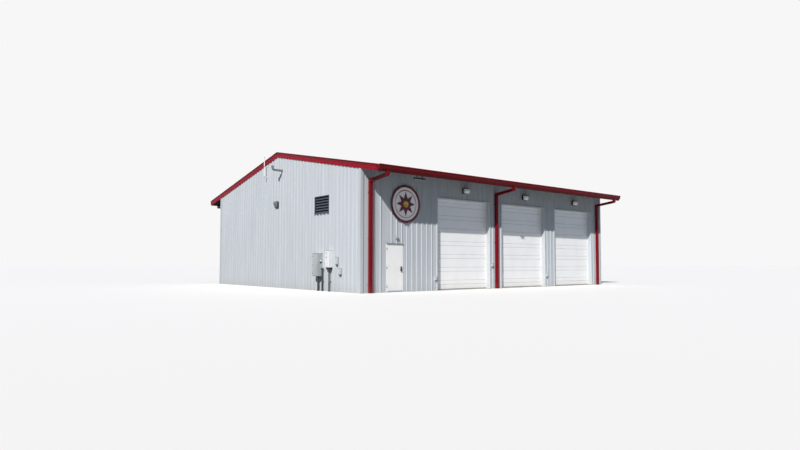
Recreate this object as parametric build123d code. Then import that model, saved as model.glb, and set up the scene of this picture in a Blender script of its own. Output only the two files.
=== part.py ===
from build123d import *
import math
import os

# Fire station with a gabled steel frame, ribbed sheet walls and roof, three
# overhead doors and one hinged door. Millimetres. X runs along the front from
# left to right, Y runs from the front wall to the rear wall, Z is up. The
# origin is the centre of the footprint at ground level, and the front faces -Y.

# Steel line, the outside of the wall framing: its width, and the distances
# from its left end to the first bay, from bay to bay, and on to its right end
frame_width = 15240.0
left_end = 6306.0
bay_pitch = 4572.0
right_end = 2838.0
bay_count = 3

# Underside of the eave and rake trim, at the outer wall face and at the ridge
eave_height = 5377.0
ridge_height = 6931.0

# Ribbed wall and roof sheets with their faced insulation behind
rib_pitch = 304.8
rib_height = 32.0
rib_base = 76.0
rib_crest = 28.0
sheet_back = 12.0

# Cold-formed girts and purlins
girt_depth = 203.0
girt_flange = 64.0
girt_gauge = 4.0
lower_girt_level = 2286.0
eave_girt_drop = 577.0
top_girt_reach = 4944.0
purlin_spacing = 1450.0
ridge_purlin_offset = 350.0

# Tapered rigid frames
flange_width = 150.0
flange_thickness = 10.0
web_thickness = 8.0
column_base_depth = 300.0
knee_depth = 600.0
rafter_ridge_depth = 350.0
endwall_post_offset = 2540.0
endwall_post_width = 120.0

# Floor and openings in the front wall
floor_top = 30.0
bay_width = 3658.0
bay_top = 4409.0
door_thickness = 50.0
door_lap = 40.0
section_count = 7
groove_width = 10.0
groove_depth = 8.0
groove_rise = 200.0
track_width = 45.0
seal_width = 20.0
seal_thickness = 8.0
trim_gauge = 4.0
trim_face = 50.0

# Hinged entry door, its centre set out from the left end
entry_offset = 1863.0
entry_width = 954.0
entry_face_setback = 20.0
frame_face = 20.0
frame_lap = 40.0
frame_depth = 152.0
stop_width = 15.0
leaf_gap = 5.0
leaf_thickness = 45.0
leaf_height = 2096.0
threshold_height = 10.0
threshold_nose = 20.0
threshold_heel = 30.0
drip_height = 12.0
drip_reach = 30.0
hinge_radius = 8.0
hinge_pin_radius = 4.0
hinge_clearance = 0.05
hinge_height = 100.0
hinge_plate = 3.0
hinge_plate_width = 40.0
knuckle_gap = 1.0
knuckle_play = 0.5
hinge_levels = (0.1, 0.5, 0.9)
lock_width = 76.0
lock_height = 230.0
lock_depth = 28.0
lock_level = 1010.0
lock_corner = 23.0
lever_length = 120.0
lever_radius = 9.0
lever_width = 22.0
lever_hub = 13.0
lever_drop = 50.0
lever_standoff = 38.0

# Roof, eaves and trims
rake_trim_height = 284.0
rake_lip = 50.0
rake_face = 25.0
rake_foot = 6.0
rake_lip_depth = 45.0
rake_step = 15.0
rake_face_depth = 170.0
front_overhang = 1230.0
rear_overhang = 1530.0
gutter_width = 180.0
gutter_rise = 25.0
gutter_depth = 285.0
gutter_foot = 50.0
gutter_face = 158.0
gutter_gauge = 4.0
gutter_lip = 40.0
gutter_step = 20.0
gutter_waist = 130.0
roof_into_gutter = 40.0
ridge_cap_half = 210.0
corner_trim_leg = 150.0

# Downspouts
downspout_width = 150.0
downspout_depth = 120.0
downspout_inset = 490.0
outlet_setback = 53.0
outlet_drop = 40.0
elbow_fall = 141.0
elbow_mitre = 54.0
elbow_corner = 36.0

# Gable wall louvre: centre from the ridge line, and drop below the eave
louvre_centre = -4450.0
louvre_drop = 1337.0
louvre_width = 1290.0
louvre_height = 860.0
louvre_frame = 40.0
louvre_depth = 90.0
louvre_proud = 8.0
louvre_blades = 6
blade_gauge = 6.0
blade_overlap = 20.0

# Lamp on the gable wall
gable_lamp_drop = 1137.0
gable_lamp_width = 330.0
gable_lamp_height = 320.0
gable_lamp_depth = 150.0
gable_lamp_foot_depth = 50.0
gable_lamp_waist = 210.0
gable_lamp_shoulder = 295.0
gable_lamp_top_depth = 120.0

# Flue through the gable wall: place, and drop below the rake trim there
flue_offset = -510.0
flue_drop = 672.0
flue_radius = 56.0
flue_reach = 545.0
flue_rise = 45.0
flue_bend = 120.0
flue_gores = 3
flue_cap_height = 70.0
flue_cap_radius = 102.0
flue_cap_top_radius = 24.0
flue_plate = 6.0
flue_plate_width = 120.0
flue_plate_height = 170.0

# Mast beside the ridge: place, and drop of its foot below the rake trim there
mast_offset = 1219.0
mast_drop = 718.0
mast_length = 1118.0
mast_radius = 24.0
mast_standoff = 160.0
mast_arm_width = 30.0
mast_arm_height = 24.0
mast_plate_width = 110.0
mast_plate_height = 60.0
mast_plate = 8.0
mast_arm_places = (40.0, 623.0)

# Lamps on the front wall and under the eave
lamp_width = 380.0
lamp_height = 250.0
lamp_depth = 230.0
lamp_foot_depth = 126.0
lamp_waist = 105.0
lamp_shoulder = 200.0
lamp_top_depth = 184.0
lamp_drop = 487.0
entry_lamp_offset = 95.0
entry_lamp_width = 150.0
entry_lamp_height = 180.0
entry_lamp_depth = 90.0
entry_lamp_gap = 102.0
sign_lamp_offset = 2479.0
sign_lamp_length = 620.0
sign_lamp_setout = 970.0
sign_lamp_drop = 190.0
sign_lamp_width = 90.0
sign_lamp_height = 85.0
sign_lamp_top_width = 40.0
sign_stem = 24.0
sign_stem_spacing = 372.0

# Electrical boxes: offset from the front corner, foot, width, height, depth
gable_boxes = (
    (3052.0, 690.0, 440.0, 1060.0, 280.0),
    (2182.0, 1100.0, 370.0, 780.0, 190.0),
    (1715.0, 1240.0, 140.0, 330.0, 100.0),
    (1430.0, 790.0, 160.0, 270.0, 100.0),
)
# Conduits under the first two boxes: distance along the box, radius, distance off the wall
box_conduits = ((248.0, 32.0, 90.0), (178.0, 24.0, 80.0))
# Riser beside the first box, with the fitting that enters the side of the box
riser_gap = 24.0
riser_radius = 38.0
riser_top = 1070.0
riser_fitting_height = 90.0
# Small boxes beside the bays: distance from the opening edge, and level
front_boxes = ((0, -1, 153.0, 580.0), (0, 1, 149.0, 1215.0), (1, 1, 132.0, 645.0))
front_box_width = 110.0
front_box_height = 170.0
front_box_depth = 60.0

frame_length = left_end + (bay_count - 1) * bay_pitch + right_end
half_length = frame_length / 2
half_width = frame_width / 2
wall_outer_y = half_width + rib_height
wall_outer_x = half_length + rib_height
wall_back_y = half_width - sheet_back
wall_back_x = half_length - sheet_back
frame_outer_y = wall_back_y - girt_depth
frame_outer_x = wall_back_x - girt_depth
slope = (ridge_height - eave_height) / wall_outer_y
pitch = math.atan(slope)
crest_depth = trim_gauge
pan_depth = crest_depth + rib_height
under_roof = pan_depth + sheet_back
under_purlin = under_roof + girt_depth
front_eave = half_width + front_overhang
rear_eave = half_width + rear_overhang
bays = [-half_length + left_end + step * bay_pitch for step in range(bay_count)]
pier_centres = [(a + b) / 2 for a, b in zip(bays, bays[1:])]
entry_centre = -half_length + entry_offset
entry_left = entry_centre - entry_width / 2
entry_right = entry_centre + entry_width / 2
leaf_foot = floor_top + threshold_height + leaf_gap
leaf_top = leaf_foot + leaf_height
entry_top = leaf_top + leaf_gap + frame_face
entry_head_top = entry_top + drip_height
entry_face = wall_outer_y - entry_face_setback
leaf_left = entry_left + frame_face + leaf_gap
leaf_right = entry_right - frame_face - leaf_gap
hinge_x = leaf_left - leaf_gap / 2
hinge_y = -entry_face - hinge_radius
knuckle = hinge_height / 3
eave_girt_level = eave_height - eave_girt_drop
end_frame = frame_outer_x - flange_width / 2
frame_lines = [-end_frame, bays[0] - bay_pitch / 2] + pier_centres + [end_frame]
knee_y = frame_outer_y - knee_depth


def roof_top(y):
    """Height of the top of the rake trim at a distance y from the ridge."""
    return ridge_height + rake_trim_height - slope * abs(y)


def under_rake(y):
    """Height of the underside of the rake trim and soffit."""
    return roof_top(y) - rake_trim_height


def block(x0, x1, y0, y1, z0, z1):
    return Pos((x0 + x1) / 2, (y0 + y1) / 2, (z0 + z1) / 2) * Box(x1 - x0, y1 - y0, z1 - z0)


def upright(points, z0, z1):
    """Extrude an outline in plan from z0 to z1."""
    face = Plane.XY.offset(z0) * Polygon(*points, align=None)
    return extrude(face, z1 - z0, dir=(0, 0, 1))


def across(points, x0, x1):
    """Extrude an outline in the Y-Z plane from x0 to x1."""
    face = Plane.YZ.offset(x0) * Polygon(*points, align=None)
    return extrude(face, x1 - x0, dir=(1, 0, 0))


def front_view(y):
    """Plane facing the front at a place along Y, with X to the right and Z up."""
    return Plane((0, y, 0), x_dir=(1, 0, 0), z_dir=(0, -1, 0))


def lengthwise(points, y0, y1):
    """Extrude an outline in the X-Z plane from y0 to y1."""
    return extrude(front_view(y0) * Polygon(*points, align=None), y1 - y0, dir=(0, 1, 0))


def down_slope(points, y0, y1):
    """Extrude an outline of (x, depth under the roof line) down the front slope."""
    outline = [(x, roof_top(y0) - depth) for x, depth in points]
    face = front_view(-y0) * Polygon(*outline, align=None)
    run = (y1 - y0) / math.cos(pitch)
    return extrude(face, run, dir=(0, -math.cos(pitch), -math.sin(pitch)))


def gable_shape(depth):
    """Everything under the roof, down to a depth below the roof line."""
    reach = max(front_eave, rear_eave) + gutter_width
    outline = [(-reach, -1.0), (reach, -1.0), (reach, roof_top(reach) - depth),
               (0.0, roof_top(0) - depth), (-reach, roof_top(reach) - depth)]
    return across(outline, -half_length * 1.1, half_length * 1.1)


def rear(shape):
    return mirror(shape, about=Plane.XZ)


def right(shape):
    return mirror(shape, about=Plane.YZ)


def both_long_sides(shapes):
    return shapes + [rear(shape) for shape in shapes]


def rib_centres(start, end, half_step):
    """Rib positions between two edges, symmetrical about the middle of the wall."""
    margin = rib_base / 2
    count = int(max(abs(start), abs(end)) / rib_pitch) + 2
    steps = [rib_pitch * (n + (0.5 if half_step else 0.0)) for n in range(-count, count)]
    return [c for c in steps if start + margin <= c <= end - margin]


def ribbed_outline(start, end, ribs_from, ribs_to, half_step):
    """Outline of a ribbed sheet as (along, outwards from the pan)."""
    outline = [(start, -sheet_back), (start, 0.0)]
    for c in rib_centres(ribs_from, ribs_to, half_step):
        outline += [(c - rib_base / 2, 0.0), (c - rib_crest / 2, rib_height),
                    (c + rib_crest / 2, rib_height), (c + rib_base / 2, 0.0)]
    return outline + [(end, 0.0), (end, -sheet_back)]


def front_sheet(start, end, foot):
    inner_trim = wall_outer_x - corner_trim_leg
    outline = ribbed_outline(start, end, max(start, -inner_trim), min(end, inner_trim), True)
    sheet = upright([(u, -half_width - v) for u, v in outline], foot, roof_top(half_width))
    return sheet & gable_shape(under_roof)


def gable_sheet():
    inner_trim = wall_outer_y - corner_trim_leg
    outline = ribbed_outline(-wall_back_y, wall_back_y, -inner_trim, inner_trim, False)
    sheet = upright([(-half_length - v, u) for u, v in outline], 0, roof_top(0))
    return sheet & gable_shape(under_roof)


def floor_slab():
    slab = block(-wall_back_x, wall_back_x, -wall_back_y, wall_back_y, 0, floor_top)
    sills = [(c - bay_width / 2 - trim_gauge, c + bay_width / 2 + trim_gauge) for c in bays]
    for start, end in sills + [(entry_left, entry_right)]:
        slab += block(start, end, -wall_outer_y, -wall_back_y, 0, floor_top)
    return slab


def i_section(outline, outer_flange, inner_flange, x):
    """A web with an outer and an inner flange, all given as Y-Z outlines."""
    member = across(outline, x - web_thickness / 2, x + web_thickness / 2)
    for flange in (outer_flange, inner_flange):
        member += across(flange, x - flange_width / 2, x + flange_width / 2)
    return member


def rafter_depth(y):
    return rafter_ridge_depth + (knee_depth - rafter_ridge_depth) * abs(y) / knee_y


def rafter_under(y):
    return roof_top(y) - under_purlin - rafter_depth(y)


def column(x):
    top_outer = roof_top(frame_outer_y) - under_purlin
    top_inner = roof_top(knee_y) - under_purlin
    knee_z = rafter_under(knee_y)
    foot_inner = frame_outer_y - column_base_depth
    t = flange_thickness
    web = [(-frame_outer_y, floor_top), (-foot_inner, floor_top), (-knee_y, knee_z),
           (-knee_y, top_inner), (-frame_outer_y, top_outer)]
    outer = [(-frame_outer_y, floor_top), (-frame_outer_y + t, floor_top),
             (-frame_outer_y + t, top_outer + t * slope), (-frame_outer_y, top_outer)]
    inner = [(-foot_inner - t, floor_top), (-foot_inner, floor_top), (-knee_y, knee_z),
             (-knee_y - t, knee_z)]
    return i_section(web, outer, inner, x)


def rafter(x):
    top = [roof_top(y) - under_purlin for y in (knee_y, 0)]
    foot = [rafter_under(y) for y in (knee_y, 0)]
    t = flange_thickness
    web = [(-knee_y, foot[0]), (0, foot[1]), (0, top[1]), (-knee_y, top[0])]
    upper = [(-knee_y, top[0] - t), (0, top[1] - t), (0, top[1]), (-knee_y, top[0])]
    lower = [(-knee_y, foot[0]), (0, foot[1]), (0, foot[1] + t), (-knee_y, foot[0] + t)]
    return i_section(web, upper, lower, x)


def endwall_posts():
    """Posts inside each gable wall, cut to the underside of the end rafters."""
    under = [(-knee_y, 0), (knee_y, 0), (knee_y, rafter_under(knee_y)),
             (0, rafter_under(0)), (-knee_y, rafter_under(knee_y))]
    cutter = across(under, -half_length, half_length)
    posts = []
    for y in (-endwall_post_offset, endwall_post_offset):
        inner = -frame_outer_x + flange_width
        t = flange_thickness
        low, high = y - endwall_post_width / 2, y + endwall_post_width / 2
        post = block(-frame_outer_x, -frame_outer_x + t, low, high, floor_top, ridge_height)
        post += block(inner - t, inner, low, high, floor_top, ridge_height)
        post += block(-frame_outer_x, inner, y - web_thickness / 2, y + web_thickness / 2,
                      floor_top, ridge_height)
        post = post & cutter
        posts += [post, right(post)]
    return posts


def purlin(s, reach):
    """A channel under the roof sheet whose web is s from the ridge."""
    inner = s - girt_flange
    web = s - girt_gauge
    top, foot, g = under_roof, under_purlin, girt_gauge
    outline = [(s, top), (inner, top), (inner, top + g), (web, top + g),
               (web, foot - g), (inner, foot - g), (inner, foot), (s, foot)]
    return across([(-y, roof_top(y) - d) for y, d in outline], -reach, reach)


def purlins(eave):
    """Purlins of one slope, the last one at a distance eave from the ridge line."""
    places = [ridge_purlin_offset]
    while places[-1] + purlin_spacing < wall_back_y - purlin_spacing / 2:
        places.append(places[-1] + purlin_spacing)
    rows = [purlin(s, wall_back_x) for s in places + [wall_back_y]]
    return rows + [purlin(eave, wall_outer_x)]


def girt_outline(level):
    """Z-section: the outer flange turns up, the inner flange turns down."""
    g, f, d = girt_gauge, girt_flange, girt_depth
    return [(0, level), (0, level + f), (g, level + f), (g, level + g), (d, level + g),
            (d, level - f + g), (d - g, level - f + g), (d - g, level)]


def front_girt(level, start, end):
    outline = [(-wall_back_y + u, z) for u, z in girt_outline(level)]
    return across(outline, start, end)


def front_girts():
    """Short girts between the openings and one long girt above them."""
    jamb = girt_flange
    edges = [(entry_left - frame_lap, entry_right + frame_lap)]
    edges += [(c - bay_width / 2 - jamb, c + bay_width / 2 + jamb) for c in bays]
    starts = [-wall_back_x] + [edge[1] for edge in edges]
    ends = [edge[0] for edge in edges] + [wall_back_x]
    short = [front_girt(lower_girt_level, a, b) for a, b in zip(starts, ends)]
    return short + [front_girt(eave_girt_level, -wall_back_x, wall_back_x)]


def rear_girts():
    levels = (lower_girt_level, eave_girt_level)
    return [rear(front_girt(level, -wall_back_x, wall_back_x)) for level in levels]


def gable_girt(level, reach):
    return lengthwise([(-wall_back_x + u, z) for u, z in girt_outline(level)], -reach, reach)


def gable_girts():
    top_level = roof_top(top_girt_reach) - under_purlin - girt_flange
    rows = [gable_girt(level, frame_outer_y) for level in (lower_girt_level, eave_girt_level)]
    rows.append(gable_girt(top_level, top_girt_reach))
    return rows + [right(row) for row in rows]


def front_piers():
    """Full-height sheets beside the openings."""
    half = bay_width / 2 + trim_gauge
    edges = [(entry_left, entry_right)] + [(c - half, c + half) for c in bays]
    starts = [-wall_back_x] + [edge[1] for edge in edges]
    ends = [edge[0] for edge in edges] + [wall_back_x]
    return [front_sheet(a, b, 0) for a, b in zip(starts, ends)]


def front_headers():
    """Sheets over the entry door and over each bay."""
    half = bay_width / 2 + trim_gauge
    over_entry = front_sheet(entry_left, entry_right, entry_head_top)
    return [over_entry] + [front_sheet(c - half, c + half, bay_top + trim_gauge) for c in bays]


def left_wall():
    level = eave_height - louvre_drop
    opening = block(-wall_outer_x - rib_height, -wall_back_x + girt_depth,
                    louvre_centre - louvre_width / 2, louvre_centre + louvre_width / 2,
                    level - louvre_height / 2, level + louvre_height / 2)
    return gable_sheet() - opening


def roof_sheet(eave):
    outline = ribbed_outline(-wall_outer_x, wall_outer_x, -wall_outer_x, wall_outer_x, True)
    return down_slope([(u, pan_depth - v) for u, v in outline], 0, eave + roof_into_gutter)


def ridge_cap():
    edge = rake_flange_edge()
    outline = [(-ridge_cap_half, trim_gauge), (0, trim_gauge), (ridge_cap_half, trim_gauge),
               (ridge_cap_half, 0), (0, 0), (-ridge_cap_half, 0)]
    return across([(y, roof_top(y) - d) for y, d in outline], -edge, edge)


def rake_flange_edge():
    """Inner edge of the rake trim's top flange, on the crest of the last roof rib."""
    return max(rib_centres(-wall_outer_x, wall_outer_x, True)) - rib_crest / 2


def rake_trim(eave):
    """Left front rake trim: a stepped fascia with a flange over the last rib."""
    out = -wall_outer_x
    outline = [(out - rake_lip, 0), (-rake_flange_edge(), 0), (-rake_flange_edge(), trim_gauge),
               (out, trim_gauge), (out, rake_trim_height), (out - rake_foot, rake_trim_height),
               (out - rake_face, rake_face_depth), (out - rake_face, rake_lip_depth + rake_step),
               (out - rake_lip, rake_lip_depth)]
    return down_slope(outline, 0, eave)


def soffit(eave):
    out = wall_outer_x
    outline = [(-out, under_purlin), (out, under_purlin), (out, rake_trim_height),
               (-out, rake_trim_height)]
    return down_slope(outline, wall_outer_y, eave)


def gutter_top(eave):
    """The front lip stands a little above the roof line, to catch the water."""
    return roof_top(eave + gutter_width) + gutter_rise


def gutter_outline(inset, eave):
    """Sculptured front, foot and back of the gutter as (out from back, height)."""
    top = gutter_top(eave)
    foot = top - gutter_depth
    waist = foot + gutter_waist
    lip = top - gutter_lip
    return [(inset, foot + inset), (gutter_foot - inset, foot + inset),
            (gutter_face - inset, waist), (gutter_face - inset, lip - gutter_step),
            (gutter_width - inset, lip), (gutter_width - inset, top)]


def gutter(eave):
    """Open trough with end caps along the front eave."""
    g = gutter_gauge
    back_top = roof_top(eave + g) - under_roof - g / 4
    outer = gutter_outline(0, eave)
    shell = [(0, back_top)] + outer
    hollow = [(g, back_top)] + gutter_outline(g, eave)
    profile = shell + hollow[::-1]
    reach = wall_outer_x + rake_foot
    trough = across([(-eave - u, z) for u, z in profile], -reach, reach)
    cap = across([(-eave - u, z) for u, z in shell], -reach, -reach + g)
    return trough + cap + right(cap)


def corner_trim():
    """Left front corner: a folded trim over the last pans of both walls."""
    t = trim_gauge
    leg_x = -wall_outer_x + corner_trim_leg
    leg_y = -wall_outer_y + corner_trim_leg
    outline = [(-wall_outer_x - t, -wall_outer_y - t), (leg_x, -wall_outer_y - t),
               (leg_x, -half_width), (-wall_back_x, -half_width), (-wall_back_x, -wall_back_y),
               (-half_length, -wall_back_y), (-half_length, leg_y), (-wall_outer_x - t, leg_y)]
    return upright(outline, 0, roof_top(half_width)) & gable_shape(rake_trim_height)


def corner_trims():
    front = [corner_trim(), right(corner_trim())]
    return both_long_sides(front)


def bay_jamb(edge, side):
    """Channel jamb with the trim that covers the sheet edge, and its seal.

    side is -1 for the left edge of an opening and 1 for the right edge."""
    g = trim_gauge
    face = wall_outer_y + g
    inner = frame_outer_y
    outline = [(0, face), (trim_face + g, face), (trim_face + g, wall_outer_y), (g, wall_outer_y),
               (g, wall_back_y), (girt_flange, wall_back_y), (girt_flange, wall_back_y - g),
               (g, wall_back_y - g), (g, inner + g), (girt_flange, inner + g),
               (girt_flange, inner), (-seal_width, inner), (-seal_width, inner + seal_thickness),
               (0, inner + seal_thickness)]
    return upright([(edge + side * u, -v) for u, v in outline], floor_top, bay_top)


def bay_header(centre):
    g = trim_gauge
    half = bay_width / 2
    top = bay_top + girt_depth
    face = wall_outer_y + g
    channel = [(wall_back_y, bay_top), (wall_back_y, top), (wall_back_y - g, top),
               (wall_back_y - g, bay_top + g), (frame_outer_y + g, bay_top + g),
               (frame_outer_y + g, top), (frame_outer_y, top), (frame_outer_y, bay_top)]
    reach = half + girt_flange
    header = across([(-v, z) for v, z in channel], centre - reach, centre + reach)
    header += block(centre - half - g, centre + half + g, -face, -wall_back_y, bay_top, bay_top + g)
    header += block(centre - half - trim_face - g, centre + half + trim_face + g, -face,
                    -wall_outer_y, bay_top, bay_top + trim_face)
    seal = half - seal_width
    header += block(centre - seal, centre + seal, -frame_outer_y - seal_thickness,
                    -frame_outer_y, bay_top - seal_width, bay_top)
    return header


def bay_door(centre):
    """Sectional door: a groove at each joint and one across each section."""
    reach = bay_width / 2 + door_lap
    section = (bay_top + door_lap - floor_top) / section_count
    back = frame_outer_y - door_thickness
    outline = [(back, floor_top), (frame_outer_y, floor_top)]
    for n in range(section_count):
        foot = floor_top + n * section
        for level in (foot + groove_rise, foot + section):
            if level < bay_top:
                outline += groove(level)
    top = bay_top + door_lap
    outline += [(frame_outer_y, top), (back, top)]
    return across([(-y, z) for y, z in outline], centre - reach, centre + reach)


def groove(level):
    half = groove_width / 2
    bottom = frame_outer_y - groove_depth
    return [(frame_outer_y, level - half), (bottom, level - half / 2),
            (bottom, level + half / 2), (frame_outer_y, level + half)]


def door_tracks():
    """Guide rails beside each overhead door, fixed to the jambs."""
    rails = []
    g = trim_gauge
    for centre in bays:
        for side in (-1, 1):
            edge = bay_width / 2 + door_lap
            back = frame_outer_y - door_thickness - g
            rail = [(edge, frame_outer_y), (edge + track_width, frame_outer_y),
                    (edge + track_width, back - g), (edge - track_width, back - g),
                    (edge - track_width, back), (edge, back)]
            rails.append(upright([(centre + side * u, -v) for u, v in rail], floor_top, bay_top))
    return rails


def entry_jamb(edge, side):
    """Pressed steel jamb with a rebate for the leaf, lapped behind the sheet."""
    face = entry_face
    rebate = face - leaf_thickness - leaf_gap
    back = face - frame_depth
    outline = [(0, face), (frame_face, face), (frame_face, rebate),
               (frame_face + stop_width, rebate), (frame_face + stop_width, back),
               (-frame_lap, back), (-frame_lap, wall_back_y), (0, wall_back_y)]
    return upright([(edge - side * u, -v) for u, v in outline], floor_top, entry_top)


def entry_head():
    """Frame head between the jambs."""
    rebate = entry_face - leaf_thickness - leaf_gap
    back = entry_face - frame_depth
    soffit_z = entry_top - frame_face
    inner = frame_face + stop_width
    head = block(entry_left + frame_face, entry_right - frame_face, -entry_face, -rebate,
                 soffit_z, entry_top)
    head += block(entry_left + inner, entry_right - inner, -rebate, -back,
                  soffit_z - stop_width, entry_top)
    return head


def drip_cap():
    """Sloped cap over the frame head, under the sheet."""
    face = wall_outer_y + drip_reach
    outline = [(-face, entry_top), (-wall_back_y, entry_top), (-wall_back_y, entry_head_top),
               (-wall_outer_y, entry_head_top), (-face, entry_head_top - drip_height / 2)]
    return across(outline, entry_left, entry_right)


def entry_threshold():
    inner = frame_face + stop_width
    back = entry_face - frame_depth
    outline = [(-entry_face, floor_top), (-back, floor_top), (-back, floor_top + threshold_height / 2),
               (-back - threshold_heel, floor_top + threshold_height),
               (-entry_face + threshold_nose, floor_top + threshold_height),
               (-entry_face, floor_top + threshold_height / 2)]
    return across(outline, entry_left + inner, entry_right - inner)


def entry_leaf():
    return block(leaf_left, leaf_right, -entry_face, -entry_face + leaf_thickness,
                 leaf_foot, leaf_top)


def hinge_centres():
    return [leaf_foot + leaf_height * share for share in hinge_levels]


def frame_hinge(z):
    """Pin, upper and lower knuckles and the plate on the frame face."""
    low, high = z - hinge_height / 2, z + hinge_height / 2
    inner = hinge_x - hinge_radius - knuckle_gap
    plate = block(entry_left + knuckle_gap, inner, -entry_face - hinge_plate, -entry_face,
                  low, high)
    hinge = plate + Pos(hinge_x, hinge_y, z) * Cylinder(hinge_pin_radius, hinge_height)
    for centre in (low + knuckle / 2, high - knuckle / 2):
        hinge += Pos(hinge_x, hinge_y, centre) * Cylinder(hinge_radius, knuckle)
        hinge += block(inner, hinge_x, -entry_face - hinge_plate, -entry_face,
                       centre - knuckle / 2, centre + knuckle / 2)
    return hinge


def leaf_hinge(z):
    """Middle knuckle and the plate on the face of the leaf."""
    height = knuckle - 2 * knuckle_play
    inner = hinge_x + hinge_radius + knuckle_gap
    plate = block(inner, inner + hinge_plate_width, -entry_face - hinge_plate, -entry_face,
                  z - hinge_height / 2, z + hinge_height / 2)
    plate += block(hinge_x, inner, -entry_face - hinge_plate, -entry_face,
                   z - height / 2, z + height / 2)
    plate += Pos(hinge_x, hinge_y, z) * Cylinder(hinge_radius, height)
    return plate - Pos(hinge_x, hinge_y, z) * Cylinder(hinge_pin_radius + hinge_clearance, height)


def lock_side(face, out):
    """Lock case and lever on one face of the leaf; out is -1 for outside."""
    centre = leaf_right - lock_width
    z = floor_top + lock_level
    plate = Pos(centre, z) * RectangleRounded(lock_width, lock_height, lock_corner)
    case = extrude(front_view(face) * plate, lock_depth, dir=(0, out, 0))
    reach = lock_depth + lever_standoff
    neck_z = z - lever_drop
    neck = extrude(front_view(face) * Pos(centre, neck_z) * Circle(lever_radius), reach,
                   dir=(0, out, 0))
    low, high = sorted((face + out * (reach - lever_radius), face + out * (reach + lever_radius)))
    arm = block(centre - lever_length, centre + lever_hub, low, high,
                neck_z - lever_width / 2, neck_z + lever_width / 2)
    return case + neck + arm


def louvre():
    """Frame and sloping blades in the left gable wall."""
    f = louvre_frame
    g = blade_gauge
    out = half_length + louvre_proud
    back = out - louvre_depth
    level = eave_height - louvre_drop
    y0, y1 = louvre_centre - louvre_width / 2, louvre_centre + louvre_width / 2
    z0, z1 = level - louvre_height / 2, level + louvre_height / 2
    frame = block(-out, -back, y0, y1, z0, z1) - block(-out, -back, y0 + f, y1 - f, z0 + f, z1 - f)
    step = (z1 - z0 - 2 * f) / louvre_blades
    for n in range(louvre_blades):
        foot = z0 + f + n * step
        head = foot + step - blade_overlap
        blade = [(-out + g, foot), (-out + 2 * g, foot), (-back - g, head), (-back - 2 * g, head)]
        frame += lengthwise(blade, y0 + f, y1 - f)
    return frame


def downspout(x, eave):
    """Vertical pipe on the crests of the front wall, under its elbow."""
    half = downspout_width / 2
    return block(x - half, x + half, -wall_outer_y - downspout_depth, -wall_outer_y,
                 0, elbow_top(eave) - downspout_depth)


def elbow_top(eave):
    return gutter_top(eave) - gutter_depth - outlet_drop - elbow_fall


def downspout_offset(x, eave):
    """Outlet under the gutter, sloping run to the wall and elbow."""
    half = downspout_width / 2
    d = downspout_depth
    foot = gutter_top(eave) - gutter_depth
    near = wall_outer_y
    toe = eave + gutter_foot
    far = eave + gutter_face - outlet_setback
    rise = gutter_waist * (far - toe) / (gutter_face - gutter_foot)
    run_top = foot - outlet_drop
    m, c = elbow_mitre, elbow_corner
    top = elbow_top(eave)
    outline = [(toe, foot), (far, foot + rise), (far, run_top - d + m), (far - m, run_top - d),
               (near + d, top - d), (near, top - d), (near, top - c), (near + c, top),
               (far - d, run_top), (far - d, foot)]
    outline = [(-y, z) for y, z in outline]
    return across(outline, x - half, x + half)


def downspout_places():
    end = wall_outer_x - downspout_inset
    return [-end, pier_centres[0], end]


def wall_lamp(centre):
    """Wedge-shaped lamp housing with a lens below."""
    foot = eave_height - lamp_drop - lamp_height / 2
    outline = [(0, 0), (lamp_foot_depth, 0), (lamp_depth, lamp_waist), (lamp_depth, lamp_shoulder),
               (lamp_top_depth, lamp_height), (0, lamp_height)]
    return across([(-wall_outer_y - out, foot + rise) for out, rise in outline],
                  centre - lamp_width / 2, centre + lamp_width / 2)


def gable_lamp():
    """Wedge-shaped lamp on the gable wall, in line with the ridge."""
    foot = eave_height - gable_lamp_drop
    half = gable_lamp_width / 2
    outline = [(0, 0), (gable_lamp_foot_depth, 0), (gable_lamp_depth, gable_lamp_waist),
               (gable_lamp_depth, gable_lamp_shoulder), (gable_lamp_top_depth, gable_lamp_height),
               (0, gable_lamp_height)]
    return lengthwise([(-wall_outer_x - out, foot + rise) for out, rise in outline], -half, half)


def entry_lamp():
    x = entry_centre + entry_lamp_offset
    foot = entry_head_top + entry_lamp_gap
    half = entry_lamp_width / 2
    return block(x - half, x + half, -wall_outer_y - entry_lamp_depth, -wall_outer_y,
                 foot, foot + entry_lamp_height)


def sign_lamp():
    """Bar lamp on two stems under the front soffit."""
    centre = -half_length + sign_lamp_offset
    out = -wall_outer_y - sign_lamp_setout
    soffit_z = under_rake(out)
    foot = soffit_z - sign_lamp_drop
    waist = foot + sign_lamp_height / 2
    top = foot + sign_lamp_height
    half_foot, half_top = sign_lamp_width / 2, sign_lamp_top_width / 2
    bar = [(out - half_foot, foot), (out + half_foot, foot), (out + half_foot, waist),
           (out + half_top, top), (out - half_top, top), (out - half_foot, waist)]
    half = sign_lamp_length / 2
    lamp = across(bar, centre - half, centre + half)
    r = sign_stem / 2
    for x in (centre - sign_stem_spacing / 2, centre + sign_stem_spacing / 2):
        lamp += block(x - r, x + r, out - r, out + r, waist, soffit_z + sign_stem)
    return lamp & gable_shape(rake_trim_height)


def mast():
    """Short pole held off the gable wall by two brackets."""
    wall = -wall_outer_x
    x = wall - mast_standoff
    foot = under_rake(mast_offset) - mast_drop
    pole = Pos(x, mast_offset, foot + mast_length / 2) * Cylinder(mast_radius, mast_length)
    for place in mast_arm_places:
        level = foot + place
        arm = Box(mast_standoff, mast_arm_width, mast_arm_height)
        plate = Box(mast_plate, mast_plate_width, mast_plate_height)
        pole += Pos((x + wall) / 2, mast_offset, level) * arm
        pole += Pos(wall - mast_plate / 2, mast_offset, level) * plate
    return pole


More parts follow.
